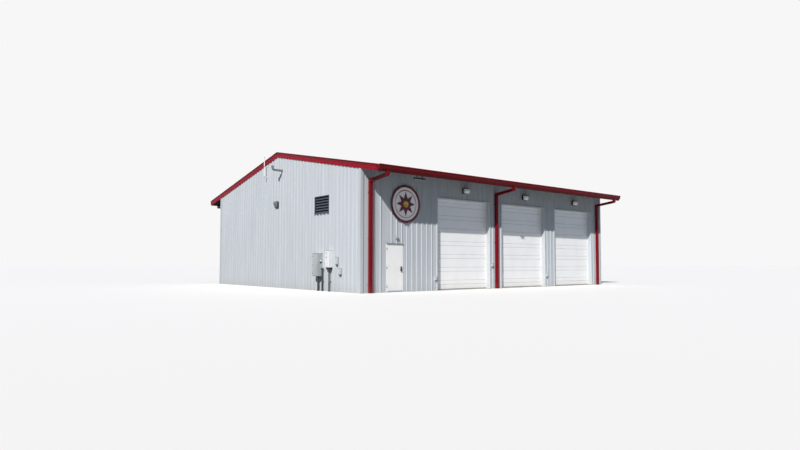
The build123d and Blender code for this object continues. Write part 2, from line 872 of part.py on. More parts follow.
def flue():
    """Flue through the gable wall with a segmented elbow and a rain cap."""
    wall = -half_length
    x = -wall_outer_x - flue_reach
    z = under_rake(flue_offset) - flue_drop
    r, bend = flue_radius, flue_bend
    path = [(wall, z)]
    for n in range(flue_gores + 1):
        angle = math.pi / 2 * n / flue_gores
        path.append((x + bend - bend * math.sin(angle), z + bend - bend * math.cos(angle)))
    top = z + bend + flue_rise
    path.append((x, top))
    line = Polyline(*[(u, flue_offset, v) for u, v in path])
    section = Plane((wall, flue_offset, z), z_dir=(-1, 0, 0)) * Circle(r)
    pipe = sweep(section, path=line, transition=Transition.RIGHT)
    cap = Cone(flue_cap_radius, flue_cap_top_radius, flue_cap_height)
    plate = Box(flue_plate, flue_plate_width, flue_plate_height)
    pipe += Pos(x, flue_offset, top + flue_cap_height / 2) * cap
    return pipe + Pos(wall - flue_plate / 2, flue_offset, z) * plate


def electrical_boxes():
    boxes = []
    for offset, foot, width, height, depth in gable_boxes:
        y = -wall_outer_y + offset
        boxes.append(block(-wall_outer_x - depth, -wall_outer_x, y, y + width, foot, foot + height))
    for bay, side, distance, level in front_boxes:
        x = bays[bay] + side * (bay_width / 2 + distance)
        boxes.append(block(x - front_box_width / 2, x + front_box_width / 2,
                           -wall_outer_y - front_box_depth, -half_width,
                           level - front_box_height / 2, level + front_box_height / 2))
    return boxes


def conduits():
    """Pipes from the ground into the boxes on the gable wall."""
    pipes = []
    for box, (along, radius, standoff) in zip(gable_boxes, box_conduits):
        y = -wall_outer_y + box[0] + along
        pipes.append(Pos(-wall_outer_x - standoff, y, box[1] / 2) * Cylinder(radius, box[1]))
    side = -wall_outer_y + gable_boxes[0][0]
    x = -wall_outer_x - riser_radius - trim_gauge
    y = side - riser_gap - riser_radius
    riser = Pos(x, y, riser_top / 2) * Cylinder(riser_radius, riser_top)
    riser += block(x - riser_radius, x + riser_radius, y - riser_radius, side,
                   riser_top - riser_fitting_height, riser_top)
    return pipes + [riser]


def save(name, shapes):
    shapes = shapes if isinstance(shapes, list) else [shapes]
    solids = [solid for shape in shapes for solid in shape.solids()]
    group = solids[0] if len(solids) == 1 else Compound(solids)
    export_step(group, f"parts/{name}.step")


def build():
    os.makedirs("parts", exist_ok=True)
    columns = [column(x) for x in frame_lines]
    rafters = [rafter(x) for x in frame_lines]
    save("floor_slab", floor_slab())
    save("frame_columns", both_long_sides(columns))
    save("front_rafters", rafters)
    save("rear_rafters", [rear(shape) for shape in rafters])
    save("endwall_posts", endwall_posts())
    save("front_purlins", purlins(front_eave))
    save("rear_purlins", [rear(shape) for shape in purlins(rear_eave)])
    save("long_wall_girts", front_girts() + rear_girts())
    save("gable_wall_girts", gable_girts())
    save("front_wall_piers", front_piers())
    save("front_wall_headers", front_headers())
    save("left_wall", left_wall())
    save("right_wall", right(gable_sheet()))
    save("rear_wall", rear(front_sheet(-wall_back_x, wall_back_x, 0)))
    save("roof_front", roof_sheet(front_eave))
    save("roof_rear", rear(roof_sheet(rear_eave)))
    save("ridge_cap", ridge_cap())
    rakes = [rake_trim(front_eave), rear(rake_trim(rear_eave))]
    save("front_rake_trims", [rakes[0], right(rakes[0])])
    save("rear_rake_trims", [rakes[1], right(rakes[1])])
    save("soffits", [soffit(front_eave), rear(soffit(rear_eave))])
    save("gutters", [gutter(front_eave), rear(gutter(rear_eave))])
    save("corner_trims", corner_trims())
    edges = [(c + side * bay_width / 2, side) for c in bays for side in (-1, 1)]
    save("bay_jambs", [bay_jamb(edge, side) for edge, side in edges])
    save("bay_headers", [bay_header(c) for c in bays])
    for name, centre in zip(("left", "middle", "right"), bays):
        save(f"overhead_door_{name}", bay_door(centre))
    save("door_tracks", door_tracks())
    save("entry_jambs", [entry_jamb(entry_left, -1), entry_jamb(entry_right, 1)])
    save("entry_head", entry_head())
    save("entry_drip_cap", drip_cap())
    save("entry_threshold", entry_threshold())
    save("entry_leaf", entry_leaf())
    save("entry_lock", [lock_side(-entry_face, -1), lock_side(-entry_face + leaf_thickness, 1)])
    save("leaf_hinges", [leaf_hinge(z) for z in hinge_centres()])
    save("frame_hinges", [frame_hinge(z) for z in hinge_centres()])
    save("louvre", louvre())
    places = downspout_places()
    save("downspouts", [downspout(x, front_eave) for x in places]
         + [rear(downspout(x, rear_eave)) for x in places])
    save("downspout_offsets", [downspout_offset(x, front_eave) for x in places]
         + [rear(downspout_offset(x, rear_eave)) for x in places])
    save("wall_lamps", [wall_lamp(c) for c in bays] + [gable_lamp(), entry_lamp()])
    save("sign_lamp", sign_lamp())
    save("mast", mast())
    save("flue", flue())
    save("electrical_boxes", electrical_boxes())
    save("conduits", conduits())
    print("hinge axis", hinge_x, hinge_y)


build()
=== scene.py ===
# %% [markdown]
# A small fire station: a gabled steel-framed hall in light grey ribbed sheet, with
# dark red trims and gutters, three white sectional doors and one hinged door.
#
# The steel frame, sheets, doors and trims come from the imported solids. This script
# dresses them: it gives every surface its finish, adds the small pieces that a
# visitor sees close up, and sets the camera where the photographer stood.

# %% Load the solids
import math

import bmesh
import bpy
from mathutils import Matrix, Vector


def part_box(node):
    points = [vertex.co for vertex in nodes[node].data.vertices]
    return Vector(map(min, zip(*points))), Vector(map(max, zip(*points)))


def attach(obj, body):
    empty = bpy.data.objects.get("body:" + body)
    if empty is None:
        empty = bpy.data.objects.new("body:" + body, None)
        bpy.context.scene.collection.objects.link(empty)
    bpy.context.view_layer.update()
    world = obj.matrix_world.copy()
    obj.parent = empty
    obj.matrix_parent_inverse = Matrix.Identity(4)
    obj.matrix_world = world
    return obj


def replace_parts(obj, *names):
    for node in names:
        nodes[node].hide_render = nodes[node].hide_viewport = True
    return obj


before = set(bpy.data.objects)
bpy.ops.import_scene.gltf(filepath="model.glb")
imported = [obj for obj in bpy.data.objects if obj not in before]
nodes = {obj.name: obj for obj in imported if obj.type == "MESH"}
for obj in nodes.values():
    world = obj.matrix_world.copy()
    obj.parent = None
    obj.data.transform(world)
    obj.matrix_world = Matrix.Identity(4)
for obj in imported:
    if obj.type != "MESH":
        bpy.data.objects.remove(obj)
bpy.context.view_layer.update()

# %% [markdown]
# Everything that is added sits on the solids, so its places are read from them.
# Only the sheet's own module is repeated here: ribs at one foot, as rolled.

# %% Read the building's main lines
RIB_PITCH = 0.3048
RIB_HEIGHT = 0.032
RIB_BASE = 0.076
SHEET_BACK = 0.012
RAKE_DEPTH = 0.284

crest_x = -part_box("left_wall")[0].x
crest_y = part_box("rear_wall")[1].y
pan_x = crest_x - RIB_HEIGHT
pan_y = crest_y - RIB_HEIGHT
rake_low, rake_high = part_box("front_rake_trims")
ridge_top = rake_high.z
eave_y = -rake_low.y
slope = (ridge_top - rake_low.z - RAKE_DEPTH) / eave_y
pitch = math.atan(slope)
wall_length = 2 * pan_x
wall_width = 2 * pan_y


def roof_line(y):
    """Height of the top of the rake trim at a distance y from the ridge."""
    return ridge_top - slope * abs(y)


def soffit_line(y):
    """Height of the foot of the rake trim, where the soffit lies."""
    return roof_line(y) - RAKE_DEPTH


print(f"walls {wall_length:.3f} by {wall_width:.3f} m, ridge {ridge_top:.3f} m, slope {slope:.4f}")

# %% [markdown]
# The camera stands on the paved yard to the left of the front, at eye level, with a
# wide lens. Its place was worked out from the lines of the building in the
# photograph, taken as 800 by 450 pixels.

# %% Camera
IMAGE_WIDTH = 800
IMAGE_HEIGHT = 450
FOCAL_PIXELS = 583.8
CENTRE_X = 392.3
CENTRE_Y = 236.9
SENSOR_WIDTH = 36
FARTHEST = 1000
EYE = Vector((-23.647, -28.015, 1.273))
YAW = math.radians(38.528)
TILT = math.radians(2.631)
ROLL = math.radians(0.069)

scene = bpy.context.scene
camera_data = bpy.data.cameras.new("camera")
camera_data.sensor_width = SENSOR_WIDTH
camera_data.lens = FOCAL_PIXELS / IMAGE_WIDTH * SENSOR_WIDTH
camera_data.shift_x = (IMAGE_WIDTH / 2 - CENTRE_X) / IMAGE_WIDTH
camera_data.shift_y = (CENTRE_Y - IMAGE_HEIGHT / 2) / IMAGE_WIDTH
camera_data.clip_end = FARTHEST
camera = bpy.data.objects.new("camera", camera_data)
turn = Matrix.Rotation(-YAW, 4, "Z") @ Matrix.Rotation(math.pi / 2 + TILT, 4, "X")
camera.matrix_world = Matrix.Translation(EYE) @ turn @ Matrix.Rotation(ROLL, 4, "Z")
scene.collection.objects.link(camera)
scene.camera = camera
print("lens", round(camera_data.lens, 2), "mm")

# %% [markdown]
# Finishes are worked out by shader nodes from the place of each point on the object,
# so they need no pictures. Each tool below adds one or two nodes. What it is given
# is either a socket, which is linked, or a value, which is set.

# %% Tools for the shader nodes


def linear(colour):
    """Turn an sRGB hex colour into linear light."""
    channels = [int(colour[i:i + 2], 16) / 255 for i in (1, 3, 5)]
    light = [c / 12.92 if c <= 0.04045 else ((c + 0.055) / 1.055) ** 2.4 for c in channels]
    return light + [1.0]


def feed(tree, node, inputs):
    """Link or set the inputs of a node."""
    for name, value in dict(inputs).items():
        if isinstance(value, bpy.types.NodeSocket):
            tree.links.new(value, node.inputs[name])
        else:
            node.inputs[name].default_value = value


def add(tree, kind, inputs=(), **settings):
    """Add a node, change its settings and feed it."""
    node = tree.nodes.new("ShaderNode" + kind)
    for name, value in settings.items():
        setattr(node, name, value)
    feed(tree, node, inputs)
    return node


def maths(tree, operation, *values, clamp=False):
    """The result of one operation on up to three values."""
    return add(tree, "Math", enumerate(values), operation=operation, use_clamp=clamp).outputs[0]


def spread(tree, value, low, high, start=0.0, end=1.0):
    """A value between start and end, spread out from low to high."""
    return add(tree, "MapRange", {0: value, 1: start, 2: end, 3: low, 4: high}).outputs[0]


def mixed(tree, factor, first, second):
    """A colour between two, each a hex colour or a socket."""
    first, second = [linear(c) if isinstance(c, str) else c for c in (first, second)]
    inputs = {"Factor": factor, "A": first, "B": second}
    return add(tree, "Mix", inputs, data_type="RGBA").outputs["Result"]


def noise(tree, where, scale, detail=2.0):
    return add(tree, "TexNoise", {"Vector": where, "Scale": scale, "Detail": detail}).outputs[0]


def stretched(tree, where, scale, detail=2.0):
    """Noise with a scale of its own along each axis."""
    drawn = add(tree, "Mapping", {"Vector": where, "Scale": scale})
    return noise(tree, drawn.outputs[0], 1.0, detail)


def bump(tree, height, distance):
    return add(tree, "Bump", {"Height": height, "Distance": distance}).outputs[0]


def along_axes(tree, where):
    """The X, Y and Z of a place, as sockets."""
    return add(tree, "SeparateXYZ", {0: where}).outputs


def begin(name):
    """Start a material, with its node tree and the object's own coordinates."""
    material = bpy.data.materials.new(name)
    material.use_nodes = True
    tree = material.node_tree
    return material, tree, add(tree, "TexCoord").outputs["Object"]


def shade(material, inputs):
    """Feed a material's shader, and give the material back."""
    tree = material.node_tree
    feed(tree, tree.nodes["Principled BSDF"], inputs)
    return material


print("white is", linear("#FFFFFF"))

# %% [markdown]
# Soft studio light: one broad key lamp from the front left, high up, as the sun
# stood, and an even sky to fill the shade under the eave. The camera sees a plain
# pale floor and backdrop, and what shines sees a calmer sky, so that paint keeps its
# depth. The floor throws back less light than it shows, or the shade would be lost,
# and most of it in front of the doors, where such a yard is pale concrete.

# %% Light and floor
KEY_TRAVEL = Vector((0.669, 0.406, -0.623))
KEY_STRENGTH = 4.4
KEY_ANGLE = math.radians(0.9)
KEY_COLOUR = (1.0, 0.955, 0.92)
FILL_STRENGTH = 0.16
GLOSS_STRENGTH = 1.2
BACKDROP = 0.93
FLOOR_RADIUS = 400.0
FLOOR_DROP = 0.002
YARD_MIDDLE = -10.2
YARD_HALF = 2.5
YARD_FADE = 4.5

scene.view_settings.view_transform = "Standard"
key_data = bpy.data.lights.new("key", "SUN")
key_data.energy = KEY_STRENGTH
key_data.angle = KEY_ANGLE
key_data.color = KEY_COLOUR
key = bpy.data.objects.new("key", key_data)
key.rotation_euler = KEY_TRAVEL.to_track_quat("-Z", "Y").to_euler()
scene.collection.objects.link(key)

world = bpy.data.worlds.new("studio")
scene.world = world
world.use_nodes = True
tree = world.node_tree
tree.nodes.clear()
rays = add(tree, "LightPath").outputs
fill, gloss, backdrop = [
    add(tree, "Background", {"Color": colour, "Strength": strength}).outputs[0]
    for colour, strength in ((linear("#B9D2F6"), FILL_STRENGTH), (linear("#C6DAF6"), GLOSS_STRENGTH),
                             ((BACKDROP, BACKDROP, BACKDROP, 1), 1.0))]
sky = add(tree, "MixShader", {0: rays["Is Glossy Ray"], 1: fill, 2: gloss})
sky = add(tree, "MixShader", {0: rays["Is Camera Ray"], 1: sky.outputs[0], 2: backdrop})
add(tree, "OutputWorld", {"Surface": sky.outputs[0]})

pale, tree, where = begin("pale floor")
from_yard = maths(tree, "ABSOLUTE", maths(tree, "SUBTRACT", along_axes(tree, where)["Y"], YARD_MIDDLE))
bounce = mixed(tree, spread(tree, from_yard, 1.0, 0.0, YARD_HALF, YARD_FADE), "#6E6F6E", "#CBCCCC")
seen = add(tree, "LightPath").outputs["Is Camera Ray"]
shade(pale, {"Base Color": mixed(tree, seen, bounce, "#FAFAF8"), "Roughness": 0.9})

floor_mesh = bmesh.new()
bmesh.ops.create_circle(floor_mesh, cap_ends=True, radius=FLOOR_RADIUS, segments=64)
floor_data = bpy.data.meshes.new("floor")
floor_mesh.to_mesh(floor_data)
floor_mesh.free()
floor_data.materials.append(pale)
floor = bpy.data.objects.new("floor", floor_data)
floor.location.z = -FLOOR_DROP
scene.collection.objects.link(floor)
print("key", KEY_STRENGTH, "fill", FILL_STRENGTH)

# %% [markdown]
# Coil coating. The wall and roof sheets are rolled from steel coil that is
# galvanised and baked with a thin polyester paint, so the colour is very even.
# What the eye catches is the slight waviness of thin sheet between its ribs, faint
# upright streaks where rain has run, and a little dust near the ground. The colour
# is mixed from two close tones, and the waviness is bump far wider than the ribs.

# %% Finish: coil coating
DUST = "#A39C8C"
DUST_HEIGHT = 0.45
DUST_MOST = 0.42
TRIM_DUST = 0.1
STREAK_BAND = (0.35, 0.65)
COATING_SHINE = 0.12


def streaked(tree, where, colour, other, across=9.0, along=0.35):
    """Two close colours mixed by noise that is drawn out upright."""
    streaks = stretched(tree, where, (across, across, along), 4.0)
    return mixed(tree, spread(tree, streaks, 0.0, 1.0, *STREAK_BAND), colour, other)


def dusty(tree, where, colour, most=DUST_MOST):
    """Dust and rain splash that fade out a little above the ground."""
    specks = noise(tree, where, 14.0, 5.0)
    fade = spread(tree, along_axes(tree, where)["Z"], most, 0.0, 0.0, DUST_HEIGHT)
    return mixed(tree, maths(tree, "MULTIPLY", fade, specks), colour, DUST)


def wavy(tree, where, depth, scale=(1.6, 1.6, 0.7)):
    """Bump of thin sheet that isn't quite flat, depth in metres."""
    return bump(tree, stretched(tree, where, scale, 1.0), depth)


def coil_coating(name, colour, other, roughness=0.38, depth=0.003):
    """Baked polyester paint on folded steel sheet."""
    material, tree, where = begin(name)
    return shade(material, {
        "Base Color": dusty(tree, where, streaked(tree, where, colour, other), TRIM_DUST),
        "Normal": wavy(tree, where, depth), "Roughness": roughness,
        "Specular IOR Level": COATING_SHINE})


white_coating = coil_coating("white coil coating", "#F6F7F7", "#EEF0F0")
spout_coating = coil_coating("dark red coil coating on downspouts", "#7F0D18", "#740A14")
# The gutters' red is darker than the rake trims' red: painted shade.
gutter_coating = coil_coating("dark red coil coating on gutters, darkened as painted shade", "#730B14", "#680911", 0.45)
trim_coating = coil_coating("light grey coil coating on folded trims", "#C0C7CD", "#B7BEC4", 0.42)
# The soffits' dark grey is painted shade: the sheet is darkened to the shade under the eave. The flue boot
# uses the same dark grey.
soffit_coating = coil_coating("dark grey coating, painted shade on the soffits", "#484B42", "#42453D", 0.6, 0.004)
rake_coating = coil_coating("dark red coil coating on rake trims", "#A11020", "#950D1B")
print("materials so far", len(bpy.data.materials))

# %% [markdown]
# The rake trims are folded lengthwise. Shade is painted on them in dark red, on the
# upper fold and along the crease in the middle. Both lines run parallel to the roof,
# so they are found by how far a point lies below the trim's top line.

# %% Finish: painted shade on the rake trims
UPPER_FOLD = 0.045
FOLD_PAINTED_SHADE = 0.85
CREASE = 0.122
CREASE_HALF = 0.028
CREASE_PAINTED_SHADE = 0.6
PAINTED_SHADE_RED = "#3E0A14"

tree = rake_coating.node_tree
unshaded_red = tree.nodes["Principled BSDF"].inputs["Base Color"].links[0].from_socket
parts = along_axes(tree, add(tree, "TexCoord").outputs["Object"])
level = maths(tree, "MULTIPLY_ADD", maths(tree, "ABSOLUTE", parts["Y"]), slope, parts["Z"])
below = maths(tree, "SUBTRACT", ridge_top, level)
# Painted shade: dark red on the upper fold and along the crease in the middle.
fold = maths(tree, "MULTIPLY", maths(tree, "LESS_THAN", below, UPPER_FOLD), FOLD_PAINTED_SHADE)
crease = maths(tree, "MULTIPLY", maths(tree, "COMPARE", below, CREASE, CREASE_HALF), CREASE_PAINTED_SHADE)
painted_shade = maths(tree, "MAXIMUM", fold, crease)
shade(rake_coating, {"Base Color": mixed(tree, painted_shade, unshaded_red, PAINTED_SHADE_RED)})
print("rake lines at", UPPER_FOLD, CREASE)

# %% [markdown]
# The wall and roof sheets have two sides. Outside is the light grey coating or the
# aluminium-zinc skin, and inside is the white vinyl face of the insulation blanket.
# One material does both: on the walls, what lies deeper than the sheet's pans is
# vinyl, and on the roof, what faces down.

# %% Finish: wall and roof sheets with their faced insulation
VINYL = "#E8E8E4"
PAN_DEPTH_SHARE = 0.5
FACING_DOWN = -0.4
SPANGLE = 0.009


def inside_sheet(tree, where):
    """1 on the inner side of the wall sheets and 0 on the outer side."""
    parts = along_axes(tree, where)
    depth = SHEET_BACK * PAN_DEPTH_SHARE
    tests = [maths(tree, "LESS_THAN", maths(tree, "ABSOLUTE", parts[axis]), limit)
             for axis, limit in (("X", pan_x - depth), ("Y", pan_y - depth))]
    return maths(tree, "MULTIPLY", *tests)


material, tree, where = begin("light grey wall sheet, vinyl faced inside")
grey = dusty(tree, where, streaked(tree, where, "#C0C7CD", "#B7BEC4"))
wall_sheet = shade(material, {
    "Base Color": mixed(tree, inside_sheet(tree, where), grey, VINYL),
    "Normal": wavy(tree, where, 0.006), "Roughness": 0.42, "Specular IOR Level": COATING_SHINE})

material, tree, where = begin("aluminium-zinc roof sheet, vinyl faced inside")
cells = add(tree, "TexVoronoi", {"Vector": where, "Scale": 1 / SPANGLE})
spangles = mixed(tree, cells.outputs["Color"], "#B9BDBF", "#CDD1D3")
upward = along_axes(tree, add(tree, "NewGeometry").outputs["Normal"])["Z"]
underside = maths(tree, "LESS_THAN", upward, FACING_DOWN)
roof_sheet = shade(material, {
    "Base Color": mixed(tree, underside, spangles, VINYL),
    "Metallic": maths(tree, "SUBTRACT", 0.4, underside, clamp=True),
    "Normal": wavy(tree, where, 0.005, (0.7, 1.6, 1.6)), "Roughness": 0.6})
print("sheets", wall_sheet.name, "and", roof_sheet.name)

# %% [markdown]
# Baked enamel on the sectional doors. Their steel skins are rolled with a fine
# pebble emboss so that small dents don't show, and painted a bright white. At a
# metre the emboss gives a soft, slightly broken shine.

# %% Finish: enamels
def enamel(name, colour, other, roughness, grain=0.05, depth=0.0002, extra=()):
    """Smooth or embossed enamel; grain is the size of the emboss in metres."""
    material, tree, where = begin(name)
    return shade(material, {
        "Base Color": dusty(tree, where, streaked(tree, where, colour, other, 1.5, 1.0)),
        "Normal": bump(tree, noise(tree, where, 1 / grain), depth),
        "Roughness": roughness, "Coat Weight": 0.15, **dict(extra)})


door_enamel = enamel("white embossed door enamel", "#FAFBFB", "#F4F6F6", 0.36, 0.006, 0.0004,
                     {"Specular IOR Level": 1.0})
leaf_enamel = enamel("white door leaf enamel", "#F6F7F7", "#F0F1F1", 0.33, 0.02)
box_enamel = enamel("pale grey cabinet enamel", "#B0B7B8", "#A7AEAF", 0.4, 0.004)
outlet_enamel = enamel("light grey outlet box enamel", "#C6CBCE", "#BDC2C5", 0.4, 0.004)
box_white = enamel("white cabinet enamel", "#E6E8EA", "#DEE1E3", 0.35, 0.004)
pole_paint = enamel("white mast paint", "#FAFBFB", "#F2F3F4", 0.4, 0.01)
print("materials so far", len(bpy.data.materials))

# %% [markdown]
# Metals and powder coats. Purlins, tracks and the flue are hot-dip galvanised: a
# dull zinc skin with spangles. The main frames carry red oxide primer. The louvre
# is powder coated dark bronze and the lamps black, which looks like fine orange
# peel. Stainless steel and mill aluminium show the lines of brush and roller.

# %% Finish: metals and powder coats
ZINC_SPANGLE = 0.012
ZINC_CLOUDING = 0.08
PEEL_SIZE = 0.003
PEEL_DEPTH = 0.0002


def galvanised_steel(name, dark, light, roughness):
    """Zinc with spangles that are duller in some places than in others."""
    material, tree, where = begin(name)
    cells = add(tree, "TexVoronoi", {"Vector": where, "Scale": 1 / ZINC_SPANGLE})
    cloud = noise(tree, where, 3.0, 4.0)
    return shade(material, {
        "Base Color": mixed(tree, maths(tree, "MULTIPLY", cells.outputs["Distance"], cloud), dark, light),
        "Roughness": spread(tree, cloud, roughness - ZINC_CLOUDING, roughness + ZINC_CLOUDING),
        "Metallic": 1.0})


def powder_coat(name, colour, other, roughness):
    """Sprayed and baked powder with a fine orange-peel surface."""
    material, tree, where = begin(name)
    return shade(material, {
        "Base Color": mixed(tree, noise(tree, where, 6.0, 3.0), colour, other),
        "Normal": bump(tree, noise(tree, where, 1 / PEEL_SIZE), PEEL_DEPTH), "Roughness": roughness})


def lined_metal(name, colour, scale, smooth, rough):
    """Bare metal with fine lines, which are smooth or rough."""
    material, tree, where = begin(name)
    return shade(material, {
        "Base Color": linear(colour), "Metallic": 1.0,
        "Roughness": spread(tree, stretched(tree, where, scale), smooth, rough)})


zinc = galvanised_steel("hot-dip galvanised steel", "#8E9496", "#BFC4C6", 0.42)
bright_zinc = galvanised_steel("bright galvanised fittings", "#A3A8AA", "#CBCFD1", 0.34)
primer = powder_coat("red oxide primer", "#7A3327", "#8A3D2E", 0.7)
bronze = powder_coat("dark bronze powder coat", "#3A3B42", "#44454D", 0.42)
black_coat = powder_coat("black powder coat", "#17181A", "#202124", 0.38)
black_plastic = powder_coat("black moulded plastic", "#1C1D1F", "#26272A", 0.5)
conduit_plastic = powder_coat("dark grey PVC conduit", "#34363A", "#404347", 0.5)
stainless = lined_metal("satin stainless steel", "#C9C8C4", (900.0, 900.0, 20.0), 0.22, 0.4)
mill_aluminium = lined_metal("mill finish aluminium", "#D2D3D4", (8.0, 400.0, 400.0), 0.28, 0.5)
print("materials so far", len(bpy.data.materials))

# %% [markdown]
# Concrete. The slab was trowelled smooth while it set: pale grey with soft clouds
# from uneven drying, fine pits, and a skin that is a little shiny where trowelled.

# %% Finish: concrete
material, tree, where = begin("trowelled concrete")
concrete = shade(material, {
    "Base Color": mixed(tree, noise(tree, where, 0.9, 6.0), "#A8A59D", "#C6C3BB"),
    "Normal": bump(tree, noise(tree, where, 120.0, 4.0), 0.0006), "Roughness": 0.62})
print(concrete.name)

# %% Dress the solids with their finishes
FINISHES = {
    concrete: ["floor_slab"],
    primer: ["frame_columns", "front_rafters", "rear_rafters", "endwall_posts"],
    zinc: ["front_purlins", "rear_purlins", "long_wall_girts", "gable_wall_girts", "flue"],
    bright_zinc: ["door_tracks"],
    wall_sheet: ["front_wall_piers", "front_wall_headers", "left_wall", "right_wall",
                 "rear_wall"],
    trim_coating: ["corner_trims", "bay_jambs", "bay_headers"],
    roof_sheet: ["roof_front", "roof_rear", "ridge_cap"],
    soffit_coating: ["soffits"],
    rake_coating: ["front_rake_trims", "rear_rake_trims"],
    spout_coating: ["downspouts", "downspout_offsets"],
    gutter_coating: ["gutters"],
    white_coating: ["entry_jambs", "entry_head"],
    door_enamel: ["overhead_door_left", "overhead_door_middle", "overhead_door_right"],
    leaf_enamel: ["entry_leaf"],
    bronze: ["entry_drip_cap", "louvre", "wall_lamps", "sign_lamp"],
    mill_aluminium: ["entry_threshold"],
    black_coat: ["entry_lock"],
    stainless: ["leaf_hinges", "frame_hinges"],
    pole_paint: ["mast"],
    box_enamel: ["electrical_boxes"],
    conduit_plastic: ["conduits"],
}
for finish, names in FINISHES.items():
    for name in names:
        nodes[name].data.materials.clear()
        nodes[name].data.materials.append(finish)
print("dressed", sum(map(len, FINISHES.values())), "of", len(nodes))

# %% [markdown]
# From here on small pieces are added to the solids. Each is made of simple blocks,
# rods and spun or drawn outlines, joined in one mesh where they are the same thing.
# On a wall it is easiest to think along the wall, out from it and up, so each wall
# and roof slope gets a matrix that turns those three into the building's own axes.

# %% Tools for the small pieces
EMBED = 0.001
BOX_ROUND = 0.004


def surface(along, out, up, origin):
    """Matrix from (along, out, up) on a wall or roof to the building's axes."""
    matrix = Matrix((along, out, up)).transposed().to_4x4()
    matrix.translation = origin
    return matrix


def long_wall(side, y):
    """The front, where side is -1, or the rear, at a distance y from the ridge."""
    return surface((1, 0, 0), (0, side, 0), (0, 0, 1), (0, side * y, 0))


def gable_wall(side, x):
    """The left gable, where side is -1, or the right one, x from the middle."""
    return surface((0, 1, 0), (side, 0, 0), (0, 0, 1), (side * x, 0, 0))


def roof_slope(side, drop, outward=1):
    """A slope below the ridge, seen from above, or from below if outward is -1."""
    down = Vector((0, side * math.cos(pitch), -math.sin(pitch)))
    out = Vector((0, outward * side * math.sin(pitch), outward * math.cos(pitch)))
    return surface((1, 0, 0), out, down, (0, 0, ridge_top - drop))


FRONT, REAR = long_wall(-1, pan_y), long_wall(1, pan_y)
LEFT, RIGHT = gable_wall(-1, pan_x), gable_wall(1, pan_x)
FACADE = long_wall(-1, crest_y)
GABLE = gable_wall(-1, crest_x)


def shifted(place, along, out, up):
    return place @ Matrix.Translation((along, out, up))


def piece(name, mesh, finish, body="building"):
    """Finish a mesh as an object that rides on a body, its normals outward."""
    bmesh.ops.recalc_face_normals(mesh, faces=mesh.faces)
    data = bpy.data.meshes.new(name)
    mesh.to_mesh(data)
    mesh.free()
    data.materials.append(finish)
    obj = bpy.data.objects.new(name, data)
    scene.collection.objects.link(obj)
    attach(obj, body)
    print(name, len(data.polygons), "faces")
    return obj


def block(mesh, low, high, place=Matrix(), bevel=0.0):
    """A block between two corners, with its edges rounded if a bevel is given."""
    low, high = Vector(low), Vector(high)
    size = Matrix.Diagonal((high - low).to_4d())
    size[3][3] = 1
    verts = bmesh.ops.create_cube(
        mesh, size=1.0, matrix=place @ Matrix.Translation((low + high) / 2) @ size)["verts"]
    if bevel:
        edges = list({edge for vert in verts for edge in vert.link_edges})
        bmesh.ops.bevel(mesh, geom=edges, offset=bevel, affect="EDGES", segments=2,
                        profile=0.5, material=-1)
    return verts


def plate(mesh, u, half, outs, ups, place, bevel=0.0):
    """A block that reaches equally far to both sides of a place along a wall."""
    return block(mesh, (u - half, outs[0], ups[0]), (u + half, outs[1], ups[1]), place, bevel)


def rod(mesh, start, end, radius, place=Matrix(), segments=16, end_radius=None):
    """A round bar or cone from one point to another."""
    start, end = place @ Vector(start), place @ Vector(end)
    axis = end - start
    turn = Vector((0, 0, 1)).rotation_difference(axis).to_matrix().to_4x4()
    bmesh.ops.create_cone(
        mesh, cap_ends=True, segments=segments, radius1=radius,
        radius2=radius if end_radius is None else end_radius, depth=axis.length,
        matrix=Matrix.Translation((start + end) / 2) @ turn)


def stud(mesh, u, up, start, end, radius, place, segments=16, end_radius=None):
    """A rod that stands out from a wall."""
    rod(mesh, (u, start, up), (u, end, up), radius, place, segments, end_radius)


def post(mesh, u, out, start, end, radius, place, segments=24, end_radius=None):
    """A rod that stands upright in front of a wall."""
    rod(mesh, (u, out, start), (u, out, end), radius, place, segments, end_radius)


def extruded(mesh, face, step):
    """Draw a face along a step, which makes it a solid."""
    moved = bmesh.ops.extrude_face_region(mesh, geom=[face])["geom"]
    bmesh.ops.translate(mesh, vec=step, verts=[v for v in moved if isinstance(v, bmesh.types.BMVert)])


def drawn(mesh, outline, start, end, place=Matrix()):
    """An outline of (out, up) drawn along a wall from start to end."""
    verts = [mesh.verts.new(place @ Vector((start, out, up))) for out, up in outline]
    extruded(mesh, mesh.faces.new(verts), place.to_3x3() @ Vector((end - start, 0, 0)))


def copies(mesh, unit, places):
    """Add a copy of a small mesh at each place, and free the small mesh."""
    data = bpy.data.meshes.new("unit")
    unit.to_mesh(data)
    unit.free()
    for place in places:
        copy = data.copy()
        copy.transform(place)
        mesh.from_mesh(copy)
        bpy.data.meshes.remove(copy)
    bpy.data.meshes.remove(data)


print("pans at", round(pan_x, 3), round(pan_y, 3), "crests at", round(crest_x, 3), round(crest_y, 3))

# %% [markdown]
# Sheets. Between two high ribs the real sheet has two very low ones, rolled in to
# stiffen the flat pan. They are too shallow for the solids but they break up the
# light, so they are added here: long blocks whose outer face is narrower than their
# foot. They stop at the openings and under the sloping soffit.

# %% Low ribs in the pans
LOW_RIB_HEIGHT = 0.005
LOW_RIB_BASE = 0.032
LOW_RIB_CREST = 0.016
CORNER_LEG = 0.15
BAY_LAP = 0.04
BAY_TRIM = 0.054
ENTRY_TRIM = 0.001

bays = []
for name in ("left", "middle", "right"):
    low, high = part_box(f"overhead_door_{name}")
    bays.append((low.x + BAY_LAP - BAY_TRIM, high.x - BAY_LAP + BAY_TRIM, high.z - BAY_LAP + BAY_TRIM))
entry_low, entry_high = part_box("entry_drip_cap")
openings = bays + [(entry_low.x - ENTRY_TRIM, entry_high.x + ENTRY_TRIM, entry_high.z + ENTRY_TRIM)]
louvre_low, louvre_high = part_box("louvre")
front_length = wall_length - 2 * CORNER_LEG
gable_length = wall_width - 2 * CORNER_LEG
wall_top = soffit_line(crest_y)


